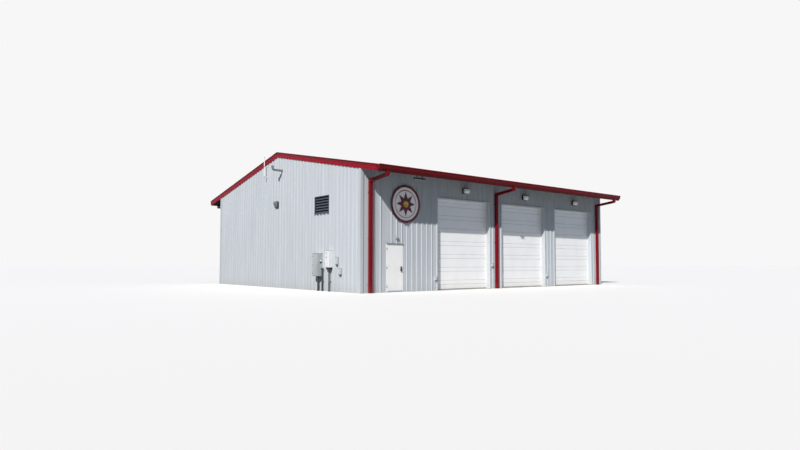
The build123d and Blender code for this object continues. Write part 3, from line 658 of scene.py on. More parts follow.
def pan_places(length, half_step):
    """Middle of each pan along a sheet that is centred on zero."""
    count = int(length / 2 / RIB_PITCH) + 1
    offset = 0.0 if half_step else RIB_PITCH / 2
    places = [n * RIB_PITCH + offset for n in range(-count, count + 1)]
    return [u for u in places if abs(u) < length / 2 - RIB_PITCH / 2]


def low_places(length, half_step):
    """Middle of each low rib, two to a pan."""
    return [u + side * RIB_PITCH / 6 for u in pan_places(length, half_step) for side in (-1, 1)]


def low_rib(mesh, u, low, high, place, roof=None):
    """One low rib; roof gives the height where it stops, if its top slopes."""
    for vert in plate(mesh, u, LOW_RIB_BASE / 2, (-EMBED, LOW_RIB_HEIGHT), (low, high), Matrix()):
        if vert.co.y > 0:
            vert.co.x = u + math.copysign(LOW_RIB_CREST / 2, vert.co.x - u)
        if roof and vert.co.z > low:
            vert.co.z = min(high, roof(vert.co.x))
        vert.co = place @ vert.co


def front_start(u):
    """Height above which the front sheet is whole at a place along it."""
    return max([0.0] + [top for start, end, top in openings if start < u + LOW_RIB_BASE
                        and u - LOW_RIB_BASE < end])


walls = bmesh.new()
for u in low_places(front_length, True):
    low_rib(walls, u, front_start(u), wall_top, FRONT)
    low_rib(walls, u, 0.0, wall_top, REAR)
for u in low_places(gable_length, False):
    low_rib(walls, u, 0.0, ridge_top, RIGHT, soffit_line)
    if louvre_low.y - LOW_RIB_BASE < u < louvre_high.y + LOW_RIB_BASE:
        low_rib(walls, u, 0.0, louvre_low.z, LEFT)
        low_rib(walls, u, louvre_high.z, ridge_top, LEFT, soffit_line)
    else:
        low_rib(walls, u, 0.0, ridge_top, LEFT, soffit_line)
piece("wall_low_ribs", walls, wall_sheet)

# %% Low ribs in the roof pans
PAN_BELOW = 0.036
GUTTER_EDGE = 0.02

roof_ends = {-1: -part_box("roof_front")[0].y, 1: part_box("roof_rear")[1].y}
eave_runs = {side: end / math.cos(pitch) - GUTTER_EDGE for side, end in roof_ends.items()}
roofs = bmesh.new()
for side, run in eave_runs.items():
    for u in low_places(2 * crest_x, True):
        low_rib(roofs, u, CORNER_LEG, run, roof_slope(side, PAN_BELOW))
piece("roof_low_ribs", roofs, roof_sheet)

# %% [markdown]
# Plaque over the entry door. A round shield of painted sheet hangs on the rib
# crests: a dark red rim, a cream field, a gilt ring and an eight-pointed star with a
# boss. A flat disc with painted rings could do from afar, but the rim and the ring
# catch the light, so they are spun from small outlines, which softens their edges.

# %% Plaque
PLAQUE_X = -6.666
PLAQUE_Z = 3.99
PLAQUE_RADIUS = 0.86
PLAQUE_SHEET = 0.012
RIM_WIDTH = 0.1
RIM_RISE = 0.022
RIM_EDGE = 0.0132
RIM_CHAMFER = 0.03
RING_RADIUS = 0.62
RING_WIDTH = 0.045
RING_EDGE = 0.005
RING_RISE = 0.012
STAR_POINTS = 8
STAR_OUTER = 0.54
STAR_INNER = 0.27
STAR_THICKNESS = 0.016
BOSS_RADIUS = 0.16
BOSS_RISE = 0.05
BOSS_HOLE = 0.001
BOSS_SHOULDERS = ((0.96, 0.35), (0.7, 0.8))
STUD_RADIUS = 0.016
STUD_TIP = 0.0096
STUD_RISE = 0.008

rim_red = enamel("dark red sign enamel", "#680F1A", "#5E0C16", 0.3, extra={"Specular IOR Level": 0.2})
cream = enamel("cream sign enamel", "#FCF6F7", "#F6EFF1", 0.34, extra={"Specular IOR Level": 1.0})
gilt = enamel("gilt sign enamel", "#B98F3A", "#AB8232", 0.3, extra={"Metallic": 0.6})
plaque_place = shifted(FACADE, PLAQUE_X, 0, PLAQUE_Z)


def spun(mesh, outline, place, steps=64):
    """An outline of (radius, out) spun round the out axis into a closed ring."""
    verts = [mesh.verts.new(place @ Vector((radius, out, 0))) for radius, out in outline]
    edges = [mesh.edges.new(pair) for pair in zip(verts, verts[1:] + verts[:1])]
    bmesh.ops.spin(mesh, geom=verts + edges, cent=place.translation, use_merge=True,
                   axis=place.to_3x3() @ Vector((0, 1, 0)), angle=2 * math.pi, steps=steps)


def star(mesh, outer, inner, low, high, place):
    """A flat star with straight sides, raised from low to high."""
    circle = bmesh.ops.create_circle(mesh, cap_ends=True, radius=1.0, segments=2 * STAR_POINTS)
    for n, vert in enumerate(circle["verts"]):
        reach = outer if n % 2 == 0 else inner
        vert.co = place @ Vector((reach * vert.co.x, low, reach * vert.co.y))
    extruded(mesh, circle["verts"][0].link_faces[0], place.to_3x3() @ Vector((0, high - low, 0)))


field, rim, ring = (bmesh.new() for n in range(3))
stud(field, 0, 0, 0, PLAQUE_SHEET, PLAQUE_RADIUS, plaque_place, 64)

sunk, rim_top = PLAQUE_SHEET - EMBED, PLAQUE_SHEET + RIM_RISE
edge, inner = PLAQUE_RADIUS, PLAQUE_RADIUS - RIM_WIDTH
spun(rim, [(inner, sunk), (inner, PLAQUE_SHEET + RIM_EDGE), (inner + RIM_CHAMFER, rim_top),
           (edge - RIM_CHAMFER, rim_top), (edge + EMBED, PLAQUE_SHEET + RIM_EDGE),
           (edge + EMBED, EMBED), (edge - EMBED, EMBED), (edge - EMBED, sunk)], plaque_place)
star(rim, STAR_OUTER, STAR_INNER, sunk, PLAQUE_SHEET + STAR_THICKNESS, plaque_place)

low, high = RING_RADIUS - RING_WIDTH / 2, RING_RADIUS + RING_WIDTH / 2
spun(ring, [(low, sunk), (low, PLAQUE_SHEET + RING_EDGE), (RING_RADIUS, PLAQUE_SHEET + RING_RISE),
            (high, PLAQUE_SHEET + RING_EDGE), (high, sunk)], plaque_place)
face = PLAQUE_SHEET + STAR_THICKNESS
boss = [(BOSS_HOLE, face - EMBED), (BOSS_RADIUS, face - EMBED)]
boss += [(BOSS_RADIUS * across, face + BOSS_RISE * up) for across, up in BOSS_SHOULDERS]
spun(ring, boss + [(BOSS_HOLE, face + BOSS_RISE)], plaque_place, 32)
for n in range(STAR_POINTS):
    angle = 2 * math.pi * (n + 0.5) / STAR_POINTS
    reach = PLAQUE_RADIUS - RIM_WIDTH / 2
    stud(ring, reach * math.cos(angle), reach * math.sin(angle), rim_top - EMBED, rim_top + STUD_RISE,
         STUD_RADIUS, plaque_place, 12, STUD_TIP)
piece("plaque_field", field, cream)
piece("plaque_rim_and_star", rim, rim_red)
piece("plaque_ring_and_studs", ring, gilt)

# %% [markdown]
# Lamps. Over each bay, and on the gable, hangs a wedge-shaped flood lamp: a black
# cast housing with a wide pressed-glass lens, fluted so that it spreads the light.
# The housing is drawn along the wall as a back, a hood and a sill, and the glass
# wraps round its ends. Over the entry door there is a small grey one in a cage.

# %% Flood lamps
BAY_LAMP = dict(width=0.32, height=0.275, front=0.23, foot=0.126, waist=0.115, shoulder=0.225, top=0.184)
GABLE_LAMP = dict(width=0.33, height=0.32, front=0.15, foot=0.05, waist=0.21, shoulder=0.295, top=0.12)
BAY_LAMP_DROP = 0.637
GABLE_LAMP_DROP = 1.137
BACK_SHARE = 0.4
SILL = 0.012
GLASS_SETBACK = 0.006
FLUTE_RISE = 0.0035
FLUTES = 12
FLUTE_HALF_SHARE = 0.3

lens_glass = enamel("frosted pressed glass", "#F6F6F4", "#ECECEA", 0.25, 0.01, 0.0003)
lamp_enamel = enamel("light grey lamp enamel", "#B4B8BB", "#ABAFB2", 0.4, 0.01)
grey_glass = enamel("weathered pressed glass", "#8C9093", "#7F8386", 0.3, 0.01, 0.0003)


def flood_lamp(housings, lenses, place, width, height, front, foot, waist, shoulder, top):
    """A flood lamp; front, foot and top are depths, waist and shoulder are heights."""
    half = width / 2
    back = BACK_SHARE * front
    hidden = back - EMBED
    sill = foot + (front - foot) / waist * SILL
    glass = front - GLASS_SETBACK
    for outline in ([(0, 0), (back, 0), (back, height), (0, height)],
                    [(hidden, shoulder), (front, shoulder), (top, height), (hidden, height)],
                    [(hidden, 0), (foot, 0), (sill, SILL), (hidden, SILL)]):
        drawn(housings, outline, -half, half, place)
    inner = half - GLASS_SETBACK
    drawn(lenses, [(hidden, SILL - EMBED), (sill - GLASS_SETBACK, SILL - EMBED), (glass, waist),
                   (glass, shoulder + EMBED), (hidden, shoulder + EMBED)], -inner, inner, place)
    step = 2 * inner / FLUTES
    flute = [(glass - 2 * GLASS_SETBACK, shoulder - EMBED), (sill - 2 * GLASS_SETBACK, SILL),
             (sill - GLASS_SETBACK + FLUTE_RISE, SILL), (glass + FLUTE_RISE, waist),
             (glass + FLUTE_RISE, shoulder - EMBED)]
    for n in range(FLUTES):
        at = -inner + (n + 0.5) * step
        drawn(lenses, flute, at - FLUTE_HALF_SHARE * step, at + FLUTE_HALF_SHARE * step, place)


housings, lenses, gable_lens = (bmesh.new() for n in range(3))
for start, end, top in bays:
    place = shifted(FACADE, (start + end) / 2, 0, wall_top - BAY_LAMP_DROP)
    flood_lamp(housings, lenses, place, **BAY_LAMP)
flood_lamp(housings, gable_lens, shifted(GABLE, 0, 0, wall_top - GABLE_LAMP_DROP), **GABLE_LAMP)
bay_lamps = piece("flood_lamp_housings", housings, black_coat)
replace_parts(bay_lamps, "wall_lamps")
piece("flood_lamp_lenses", lenses, lens_glass)
piece("gable_lamp_lens", gable_lens, grey_glass)

# %% Lamp over the entry
ENTRY_LAMP_OFFSET = 0.095
ENTRY_LAMP_GAP = 0.18
ENTRY_LAMP_WIDTH = 0.14
ENTRY_LAMP_HEIGHT = 0.17
ENTRY_LAMP_BACK = 0.02
GLOBE_LINE = ((0.019, 0.02), (0.045, 0.02), (0.07, 0.085), (0.07, 0.13), (0.045, 0.155), (0.019, 0.155))
GLOBE_INSET = 0.015
BAR_LINE = ((0.035, 0.018), (0.047, 0.018), (0.072, 0.084), (0.072, 0.131), (0.045, 0.157))
BAR_INSET = 0.03
BAR_HALF = 0.003
BARS = 5

lamp = bmesh.new()
middle = (entry_low.x + entry_high.x) / 2 + ENTRY_LAMP_OFFSET
place = shifted(FACADE, middle, 0, entry_high.z + ENTRY_LAMP_GAP)
half = ENTRY_LAMP_WIDTH / 2
plate(lamp, 0, half, (0, ENTRY_LAMP_BACK), (0, ENTRY_LAMP_HEIGHT), place, BOX_ROUND)
drawn(lamp, GLOBE_LINE, -half + GLOBE_INSET, half - GLOBE_INSET, place)
for n in range(BARS):
    at = -half + BAR_INSET + n * (ENTRY_LAMP_WIDTH - 2 * BAR_INSET) / (BARS - 1)
    drawn(lamp, BAR_LINE, at - BAR_HALF, at + BAR_HALF, place)
piece("entry_lamp", lamp, lamp_enamel)

# %% [markdown]
# Screws and laps. The sheets are held by hexagonal screws with washers, one beside
# each rib at every girt and purlin, and two at the foot and the eave. Each sheet
# covers three ribs and laps over the next one. The screws are many, so each is only
# two short six-sided rods.

# %% Screws and laps of the wall sheets
WASHER_RADIUS = 0.009
SCREW_RADIUS = 0.0055
WASHER_RISE = 0.002
SCREW_RISE = 0.007
SCREW_FROM_RIB = 0.018
GIRT_ROWS = (2.318, 4.832)
FOOT_ROW = 0.07
TOP_ROW_DROP = 0.06
UPPER_GIRT = 5.928
UPPER_GIRT_REACH = 4.9
LAP_RIBS = 3
LAP_WIDTH = 0.012
LAP_RISE = 0.0015

beside = RIB_BASE / 2 + SCREW_FROM_RIB


def rib_places(length, half_step):
    """Middle of each high rib along a sheet that is centred on zero."""
    return [u + RIB_PITCH / 2 for u in pan_places(length, half_step)][:-1]


def new_screw():
    screw = bmesh.new()
    rod(screw, (0, -EMBED, 0), (0, WASHER_RISE, 0), WASHER_RADIUS, segments=6)
    rod(screw, (0, WASHER_RISE, 0), (0, SCREW_RISE, 0), SCREW_RADIUS, segments=6)
    return screw


def screw_places(place, u, rows, sides=(1,)):
    """Where the screws beside a rib are, in some rows and on one or both sides."""
    return [shifted(place, u + side * beside, 0, row) for row in rows for side in sides]


def lap(mesh, u, low, high, place):
    """The edge of the upper sheet, on the near side of a rib."""
    foot = u - RIB_BASE / 2 - LAP_WIDTH
    block(mesh, (foot, -EMBED, low), (foot + LAP_WIDTH, LAP_RISE, high), place)


screws = bmesh.new()
heads = []
for n, u in enumerate(rib_places(front_length, True)):
    for place, low in ((FRONT, front_start(u)), (REAR, 0.0)):
        heads += screw_places(place, u, (low + FOOT_ROW, wall_top - TOP_ROW_DROP), (-1, 1))
        heads += screw_places(place, u, [row for row in GIRT_ROWS if row > low + FOOT_ROW])
        if n % LAP_RIBS == 0:
            lap(screws, u, low, wall_top, place)
for n, u in enumerate(rib_places(gable_length, False)):
    top = soffit_line(abs(u) + beside)
    for place in (LEFT, RIGHT):
        cut = place is LEFT and louvre_low.y - RIB_BASE < u < louvre_high.y + RIB_BASE
        rows = [row for row in GIRT_ROWS if not (cut and louvre_low.z < row < louvre_high.z)]
        if abs(u) < UPPER_GIRT_REACH:
            rows.append(UPPER_GIRT)
        heads += screw_places(place, u, rows)
        heads += screw_places(place, u, (FOOT_ROW, top - TOP_ROW_DROP), (-1, 1))
        if n % LAP_RIBS == 0:
            for low, high in [(0.0, louvre_low.z), (louvre_high.z, top)] if cut else [(0.0, top)]:
                lap(screws, u, low, high, place)
copies(screws, new_screw(), heads)
piece("wall_screws_and_laps", screws, wall_sheet)

# %% Screws of the roof sheets and the ridge cap
ROOF_ROWS = (0.35, 1.8, 3.25, 4.7, 6.15, 7.608)
EAVE_ROW = 0.1
CAP_REACH = 0.19

roof_screws = bmesh.new()
heads = []
for side, end in roof_ends.items():
    place = roof_slope(side, PAN_BELOW)
    rows = [row / math.cos(pitch) for row in (*ROOF_ROWS, end - EAVE_ROW)]
    for n, u in enumerate(rib_places(2 * crest_x, True)):
        heads += screw_places(place, u, rows)
        heads.append(shifted(place, u, PAN_BELOW, CAP_REACH))
        if n % LAP_RIBS == 0:
            lap(roof_screws, u, CORNER_LEG, eave_runs[side], place)
copies(roof_screws, new_screw(), heads)
piece("roof_screws_and_laps", roof_screws, roof_sheet)

# %% [markdown]
# Red trims. The rake trims and the gutters come in lengths of about three metres,
# each slipped over the next, so a thin sleeve shows at every joint. Straps hold the
# gutter's lip to the roof, and bands hold the downspouts to the wall. A sleeve could
# be a slice cut from the trim and swollen, but the trim's outline, drawn again with
# one gauge of metal to each side, is simpler and exact.

# %% Laps and screws of the rake trims
SLEEVE = 0.06
SLEEVE_GAUGE = 0.0012
RAKE_JOINTS = (2.95, 5.95)
RAKE_LINE = ((0.025, -0.062), (0.025, -0.17), (0.006, -RAKE_DEPTH))
RAKE_SCREWS = 14
RAKE_SCREW_START = 0.3
RAKE_SCREW_STEP = 0.61
RAKE_SCREW_DEPTH = 0.215
RAKE_SCREW_RADIUS = 0.007
RAKE_SCREW_OUTS = (0.014, 0.024)

trims = bmesh.new()
rake_sleeve = [(out + SLEEVE_GAUGE, up) for out, up in RAKE_LINE]
rake_sleeve += [(out - SLEEVE_GAUGE, up) for out, up in RAKE_LINE[::-1]]
for side in (-1, 1):
    for end in (-1, 1):
        place = surface((0, side * math.cos(pitch), -math.sin(pitch)), (end, 0, 0), (0, 0, 1),
                        (end * crest_x, 0, ridge_top))
        for joint in RAKE_JOINTS:
            drawn(trims, rake_sleeve, joint, joint + SLEEVE, place)
        for n in range(RAKE_SCREWS):
            stud(trims, RAKE_SCREW_START + n * RAKE_SCREW_STEP, -RAKE_SCREW_DEPTH, *RAKE_SCREW_OUTS,
                 RAKE_SCREW_RADIUS, place, 6)
piece("rake_laps_and_screws", trims, rake_coating)

# %% Gutter laps and straps
GUTTER_WIDTH = 0.18
GUTTER_RISE = 0.025
GUTTER_DEPTH = 0.285
GUTTER_FOOT = 0.05
GUTTER_FACE = 0.158
GUTTER_WAIST = 0.13
SLEEVE_TOP = 0.06
GUTTER_JOINTS = (-6.1, -3.05, 0.0, 3.05, 6.1)
STRAP_HALF = 0.015
STRAP_GAUGE = 0.002
STRAP_BACK = 0.05
STRAP_INSET = 0.0002
PANS_PER_STRAP = 3

gutter_low, gutter_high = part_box("gutters")
gutter_backs = {-1: -gutter_low.y - GUTTER_WIDTH, 1: gutter_high.y - GUTTER_WIDTH}
laps, straps = bmesh.new(), bmesh.new()
for side, back in gutter_backs.items():
    top = roof_line(back + GUTTER_WIDTH) + GUTTER_RISE
    foot = top - GUTTER_DEPTH
    line = [(0.0, foot), (GUTTER_FOOT, foot), (GUTTER_FACE, foot + GUTTER_WAIST),
            (GUTTER_FACE, top - SLEEVE_TOP)]
    gauges = [(SLEEVE_GAUGE if out else 0, SLEEVE_GAUGE if up == foot else 0) for out, up in line]
    sleeve = [(out + g, up - h) for (out, up), (g, h) in zip(line, gauges)]
    sleeve += [(out - g, up + h) for (out, up), (g, h) in zip(line[::-1], gauges[::-1])]
    place = long_wall(side, back)
    for joint in GUTTER_JOINTS:
        drawn(laps, sleeve, joint, joint + SLEEVE, place)
    pan_here = roof_line(back - STRAP_BACK) - PAN_BELOW
    lip = GUTTER_WIDTH - STRAP_GAUGE
    strap = [(-STRAP_BACK, pan_here - EMBED), (lip, top - STRAP_GAUGE), (lip, top - STRAP_INSET),
             (-STRAP_BACK, pan_here + STRAP_GAUGE)]
    for u in pan_places(2 * crest_x, True)[1::PANS_PER_STRAP]:
        drawn(straps, strap, u - STRAP_HALF, u + STRAP_HALF, place)
piece("gutter_laps", laps, gutter_coating)
piece("gutter_straps", straps, bright_zinc)

# %% Bands of the downspouts
SPOUT_HALF = 0.075
BAND_LEVELS = (0.35, 2.35, 4.35)
BAND_HEIGHT = 0.03
BAND_GAUGE = 0.003
BAND_SCREW_RADIUS = 0.006
EAR = 0.04
EAR_SCREW_SHARE = 0.6
EAR_SCREW_RISE = 0.0075
COLLAR = (-0.03, 0.012)

spout_low, spout_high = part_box("downspouts")
spout_places = (spout_low.x + SPOUT_HALF, (bays[0][1] + bays[1][0]) / 2, spout_high.x - SPOUT_HALF)
outs = (0, -crest_y - spout_low.y + BAND_GAUGE)
bands = bmesh.new()
for side, back in gutter_backs.items():
    spout_top = spout_high.z - slope * (back - gutter_backs[-1])
    place = long_wall(side, crest_y)
    for u in spout_places:
        for level in BAND_LEVELS:
            ups = (level, level + BAND_HEIGHT)
            plate(bands, u, SPOUT_HALF + BAND_GAUGE, outs, ups, place)
            plate(bands, u, SPOUT_HALF + EAR, (0, BAND_GAUGE), ups, place)
            for ear in (-1, 1):
                stud(bands, u + ear * (SPOUT_HALF + EAR * EAR_SCREW_SHARE), level + BAND_HEIGHT / 2,
                     BAND_GAUGE, EAR_SCREW_RISE, BAND_SCREW_RADIUS, place, 6)
        plate(bands, u, SPOUT_HALF + BAND_GAUGE, outs, [spout_top + rise for rise in COLLAR], place)
piece("downspout_bands", bands, spout_coating)

# %% [markdown]
# Overhead doors. Each door is a stack of seven insulated steel sections that tuck
# into one another with a tongue. Two grooves are rolled across the face of every
# section, and they show more than its joints, which close tightly. Bevelled blocks
# could be stacked too, but an outline holds the grooves as well, so the outline of
# one section is drawn along the door and the stack repeats it. In the bottom of each
# groove lies a dark grey strip of painted shade. A black bulb seal closes the foot of
# the door, and pale vinyl seals run up the jambs and under the header.

# %% Sections and seals of the overhead doors
SECTIONS = 7
SECTION_GAP = 0.0005
GROOVE_LEVELS = (0.243, 0.443)
SLAB_TOP = 0.03
THICKNESS = 0.05
GROOVE_HALF = 0.007
GROOVE_DEPTH = 0.008
EDGE_ROUND = 0.0015
TONGUE = 0.008
TONGUE_SHARES = (0.4, 0.6)
GROOVE_SHADE_HALF = 0.0045
SEAL_OUTS = (0.0005, 0.0095)
SEAL_WIDTH = 0.04
BULB_HEIGHT = 0.024
BULB_OUTS = (0.012, 0.016, 0.01)

vinyl_seal = enamel("white vinyl seal", "#F3F1EA", "#EAE7DE", 0.5, 0.02)
# Painted shade: a dark grey strip for the bottom of each groove.
groove_shade_paint = powder_coat("painted groove shade", "#6E7376", "#7B8083", 0.7)
stack, groove_shade, bulbs, seals = (bmesh.new() for n in range(4))


def door_section(foot, head, tongue):
    """Outline of one section: outward and up, the front face at 0."""
    line = [(-THICKNESS, foot), (-EDGE_ROUND, foot), (0, foot + EDGE_ROUND)]
    for level in (foot + rise for rise in GROOVE_LEVELS):
        line += [(0, level - GROOVE_HALF), (-GROOVE_DEPTH, level - GROOVE_HALF / 2),
                 (-GROOVE_DEPTH, level + GROOVE_HALF / 2), (0, level + GROOVE_HALF)]
    line += [(0, head - EDGE_ROUND), (-EDGE_ROUND, head)]
    if tongue:
        near, far = [-share * THICKNESS for share in TONGUE_SHARES]
        line += [(near, head), (near, head + TONGUE), (far, head + TONGUE), (far, head)]
    return line + [(-THICKNESS, head)]


bulb_ups = [SLAB_TOP + BULB_HEIGHT * n / 2 for n in range(3)]
bulb = [(-EMBED, bulb_ups[0]), *zip(BULB_OUTS, bulb_ups), (-EMBED, bulb_ups[-1])]
for name, (start, end, top) in zip(("left", "middle", "right"), bays):
    low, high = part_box(f"overhead_door_{name}")
    left, right, head = start + BAY_TRIM, end - BAY_TRIM, top - BAY_TRIM
    jamb_top = head - SEAL_WIDTH
    place = long_wall(-1, -low.y)
    section = (high.z - SLAB_TOP) / SECTIONS
    for n in range(SECTIONS):
        foot = SLAB_TOP + n * section
        last = n == SECTIONS - 1
        drawn(stack, door_section(foot, high.z if last else foot + section - SECTION_GAP, not last),
              low.x, high.x, place)
        # Painted shade: a dark grey strip in the bottom of each groove.
        for level in (foot + rise for rise in GROOVE_LEVELS):
            block(groove_shade, (low.x + EMBED, -GROOVE_DEPTH - EMBED, level - GROOVE_SHADE_HALF),
                  (high.x - EMBED, -GROOVE_DEPTH + EMBED, level + GROOVE_SHADE_HALF), place)
    drawn(bulbs, bulb, left + SEAL_WIDTH, right - SEAL_WIDTH, place)
    for u in (left + SEAL_WIDTH / 2, right - SEAL_WIDTH / 2):
        plate(seals, u, SEAL_WIDTH / 2, SEAL_OUTS, (SLAB_TOP, jamb_top), place)
    plate(seals, (left + right) / 2, (right - left) / 2, SEAL_OUTS, (jamb_top, head), place)
sections = piece("overhead_door_sections", stack, door_enamel)
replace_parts(sections, "overhead_door_left", "overhead_door_middle", "overhead_door_right")
piece("door_groove_shade", groove_shade, groove_shade_paint)
piece("door_bottom_seals", bulbs, black_plastic)
piece("bay_seals", seals, vinyl_seal)

# %% [markdown]
# Electrical cabinets. Folded steel boxes stand on the rib crests near the front
# corner, each with a hood and a door that stands a little proud. The first one is
# grey and the second one white, two small ones hang beside them, and three outlet
# boxes sit beside the bays. A folded box could be a shell with a real door, but none
# of them opens, so each is a rounded block with a smaller one as its door.

# %% Cabinets
# Distance from the front corner, foot, width, height and depth
CABINETS = ((3.052, 0.69, 0.44, 1.06, 0.28), (2.182, 1.1, 0.37, 0.78, 0.19),
            (1.715, 1.24, 0.14, 0.33, 0.1), (1.43, 0.79, 0.16, 0.27, 0.1))
# Bay, side of the bay, distance from its edge, and level
OUTLETS = ((0, -1, 0.153, 0.58), (0, 1, 0.149, 1.215), (1, 1, 0.132, 0.645))
OUTLET_WIDTH = 0.11
OUTLET_HEIGHT = 0.17
OUTLET_DEPTH = 0.06
OUTLET_PIPE_OUT = 0.03
OUTLET_PIPE_DROP = 0.035
OUTLET_PIPE_RADIUS = 0.014
DOOR_MARGIN = 0.02
DOOR_TOP_MARGIN = 0.03
DOOR_RISE = 0.01
HOOD_REACH = 0.02
HOOD_SIDE = 0.006
HOOD_RISES = (0.004, 0.012)

grey_box, white_box, small_boxes, fittings, knobs, dials = (bmesh.new() for n in range(6))


def cabinet(mesh, side, foot, width, height, depth, back=0.0, place=GABLE):
    """A box with a hood and a proud door."""
    top, m = foot + height, DOOR_MARGIN
    block(mesh, (side, back, foot), (side + width, depth, top), place, BOX_ROUND)
    block(mesh, (side + m, depth - EMBED, foot + m),
          (side + width - m, depth + DOOR_RISE, top - DOOR_TOP_MARGIN), place, BOX_ROUND)
    drawn(mesh, [(back, top - EMBED), (depth + HOOD_REACH, top - EMBED),
                 (depth + HOOD_REACH, top + HOOD_RISES[0]), (back, top + HOOD_RISES[1])],
          side - HOOD_SIDE, side + width + HOOD_SIDE, place)


boxes = [(-crest_y + offset, *sizes) for offset, *sizes in CABINETS]
for mesh, box in zip((grey_box, white_box, small_boxes, small_boxes), boxes):
    cabinet(mesh, *box)
for bay, side, distance, level in OUTLETS:
    x = bays[bay][(side + 1) // 2] - side * BAY_TRIM + side * distance
    foot = level - OUTLET_HEIGHT / 2
    cabinet(small_boxes, x - OUTLET_WIDTH / 2, foot, OUTLET_WIDTH, OUTLET_HEIGHT, OUTLET_DEPTH,
            -RIB_HEIGHT, FACADE)
    post(fittings, x, OUTLET_PIPE_OUT, foot, foot - OUTLET_PIPE_DROP, OUTLET_PIPE_RADIUS, FACADE, 12)
for name, mesh, finish in (("grey_cabinet", grey_box, box_enamel), ("white_cabinet", white_box, box_white),
                           ("outlet_boxes", small_boxes, outlet_enamel)):
    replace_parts(piece(name, mesh, finish), "electrical_boxes")

# %% [markdown]
# Fittings of the cabinets. The grey one has a seam in its door, a switch knob with a
# handle under it on its side, and three hinge pins. The white one has two dials and
# a wire trough below. Where a conduit enters, there is a gland: a nut and a collar.
# Levels and places that follow a cabinet's size are written as shares of it.

# %% Fittings of the cabinets
SEAM_PLACE = 0.2
SEAM_FOOT = 0.03
SEAM_TOP = 0.54
DOOR_SEAM_HALF = 0.005
DOOR_SEAM_PROUD = 0.0015
SWITCH_PLACE = 0.36
SWITCH_LEVEL = 0.67
KNOB_RADIUS = 0.034
KNOB_LENGTH = 0.04
HANDLE_LEVELS = (0.585, 0.64)
HANDLE_REACH = (-0.03, 0.045)
HANDLE_LENGTH = 0.025
PIN_LEVELS = (0.12, 0.5, 0.88)
PIN_INSET = 0.012
PIN_OUT = 0.008
PIN_HALF = 0.03
PIN_RADIUS = 0.009
GLAND_DROPS = (0.03, 0.055)
NUT_SHARE = 1.3
MAIN_GLAND = 0.248
MAIN_GLAND_OUT = 0.09
MAIN_GLAND_RADIUS = 0.045
SMALL_GLAND_RADII = (0.02, 0.022)
DIAL_PLACE = 0.57
DIAL_LEVELS = (0.6, 0.85)
DIAL_RISE = 0.03
DIAL_RADIUS = 0.022
TROUGH_ENDS = (0.12, 0.8)
TROUGH_DROP = 0.1
TROUGH_INSET = 0.03
TROUGH_ROUND = 0.006
LEDGE_ENDS = (0.12, 0.88)
LEDGE_DROP = 0.012
LEDGE_INSET = 0.01


def gland(u, out, foot, radius):
    """A nut and a collar where a conduit enters a cabinet."""
    nut, collar = GLAND_DROPS
    post(fittings, u, out, foot + EMBED, foot - nut, radius * NUT_SHARE, GABLE, 12)
    post(fittings, u, out, foot - nut + EMBED, foot - collar, radius, GABLE, 12)


def under(box, ends, drop, inset, bevel=0.0):
    """A block under a cabinet, between two shares of its width."""
    u, foot, width, height, depth = box
    block(fittings, (u + ends[0] * width, inset, foot - drop),
          (u + ends[1] * width, depth - inset, foot + EMBED), GABLE, bevel)


u, foot, width, height, depth = boxes[0]
plate(fittings, u + SEAM_PLACE * width, DOOR_SEAM_HALF, (depth, depth + DOOR_RISE + DOOR_SEAM_PROUD),
      (foot + SEAM_FOOT, foot + SEAM_TOP * height), GABLE)
switch = SWITCH_PLACE * depth
knob_level = foot + SWITCH_LEVEL * height
rod(knobs, (u, switch, knob_level), (u - KNOB_LENGTH, switch, knob_level), KNOB_RADIUS, GABLE, 24)
block(fittings, (u - HANDLE_LENGTH, switch + HANDLE_REACH[0], foot + HANDLE_LEVELS[0] * height),
      (u, switch + HANDLE_REACH[1], foot + HANDLE_LEVELS[1] * height), GABLE, BOX_ROUND)
for share in PIN_LEVELS:
    level = foot + share * height
    post(fittings, u + width - PIN_INSET, depth + PIN_OUT, level - PIN_HALF, level + PIN_HALF,
         PIN_RADIUS, GABLE, 12)
gland(u + MAIN_GLAND, MAIN_GLAND_OUT, foot, MAIN_GLAND_RADIUS)

u, foot, width, height, depth = boxes[1]
for share in DIAL_LEVELS:
    stud(dials, u + DIAL_PLACE * width, foot + share * height, depth, depth + DIAL_RISE, DIAL_RADIUS,
         GABLE, 24)
under(boxes[1], TROUGH_ENDS, TROUGH_DROP, TROUGH_INSET, TROUGH_ROUND)
for box, radius in zip(boxes[2:], SMALL_GLAND_RADII):
    u, foot, width, height, depth = box
    gland(u + width / 2, depth / 2, foot, radius)
    under(box, LEDGE_ENDS, LEDGE_DROP, LEDGE_INSET)
piece("cabinet_fittings", fittings, black_plastic)
piece("cabinet_knobs", knobs, box_white)
piece("cabinet_dials", dials, zinc)

# %% Straps and couplings of the conduits
# Distance from the front corner, radius, distance from the crests, and top
CONDUITS = ((CABINETS[0][0] + MAIN_GLAND, 0.032, 0.09, 0.69), (CABINETS[1][0] + 0.178, 0.024, 0.08, 1.1),
            (CABINETS[0][0] - 0.062, 0.038, 0.042, 1.07))
STRAP_FOOT = 0.45
STRAP_DROP = 0.12
STRAP_HEIGHT = 0.02
STRAP_STEEL = 0.002
FOOT_EAR = 0.03
FOOT_RISE = 0.003
# Foot, top, and how far the coupling is thicker than its conduit
COUPLINGS = ((0.28, 0.35, 0.004), (0.0, 0.05, 0.006))

straps, couplings = bmesh.new(), bmesh.new()
for offset, radius, standoff, top in CONDUITS:
    u = -crest_y + offset
    for level in (STRAP_FOOT, top - STRAP_DROP):
        ups = (level, level + STRAP_HEIGHT)
        reach = radius + STRAP_STEEL
        plate(straps, u, reach, (-RIB_HEIGHT, standoff + reach), ups, GABLE)
        plate(straps, u, radius + FOOT_EAR, (-RIB_HEIGHT, FOOT_RISE), ups, GABLE)
    for low, high, thicker in COUPLINGS:
        post(couplings, u, standoff, low, high, radius + thicker, GABLE)
piece("conduit_straps", straps, bright_zinc)
piece("conduit_couplings", couplings, conduit_plastic)

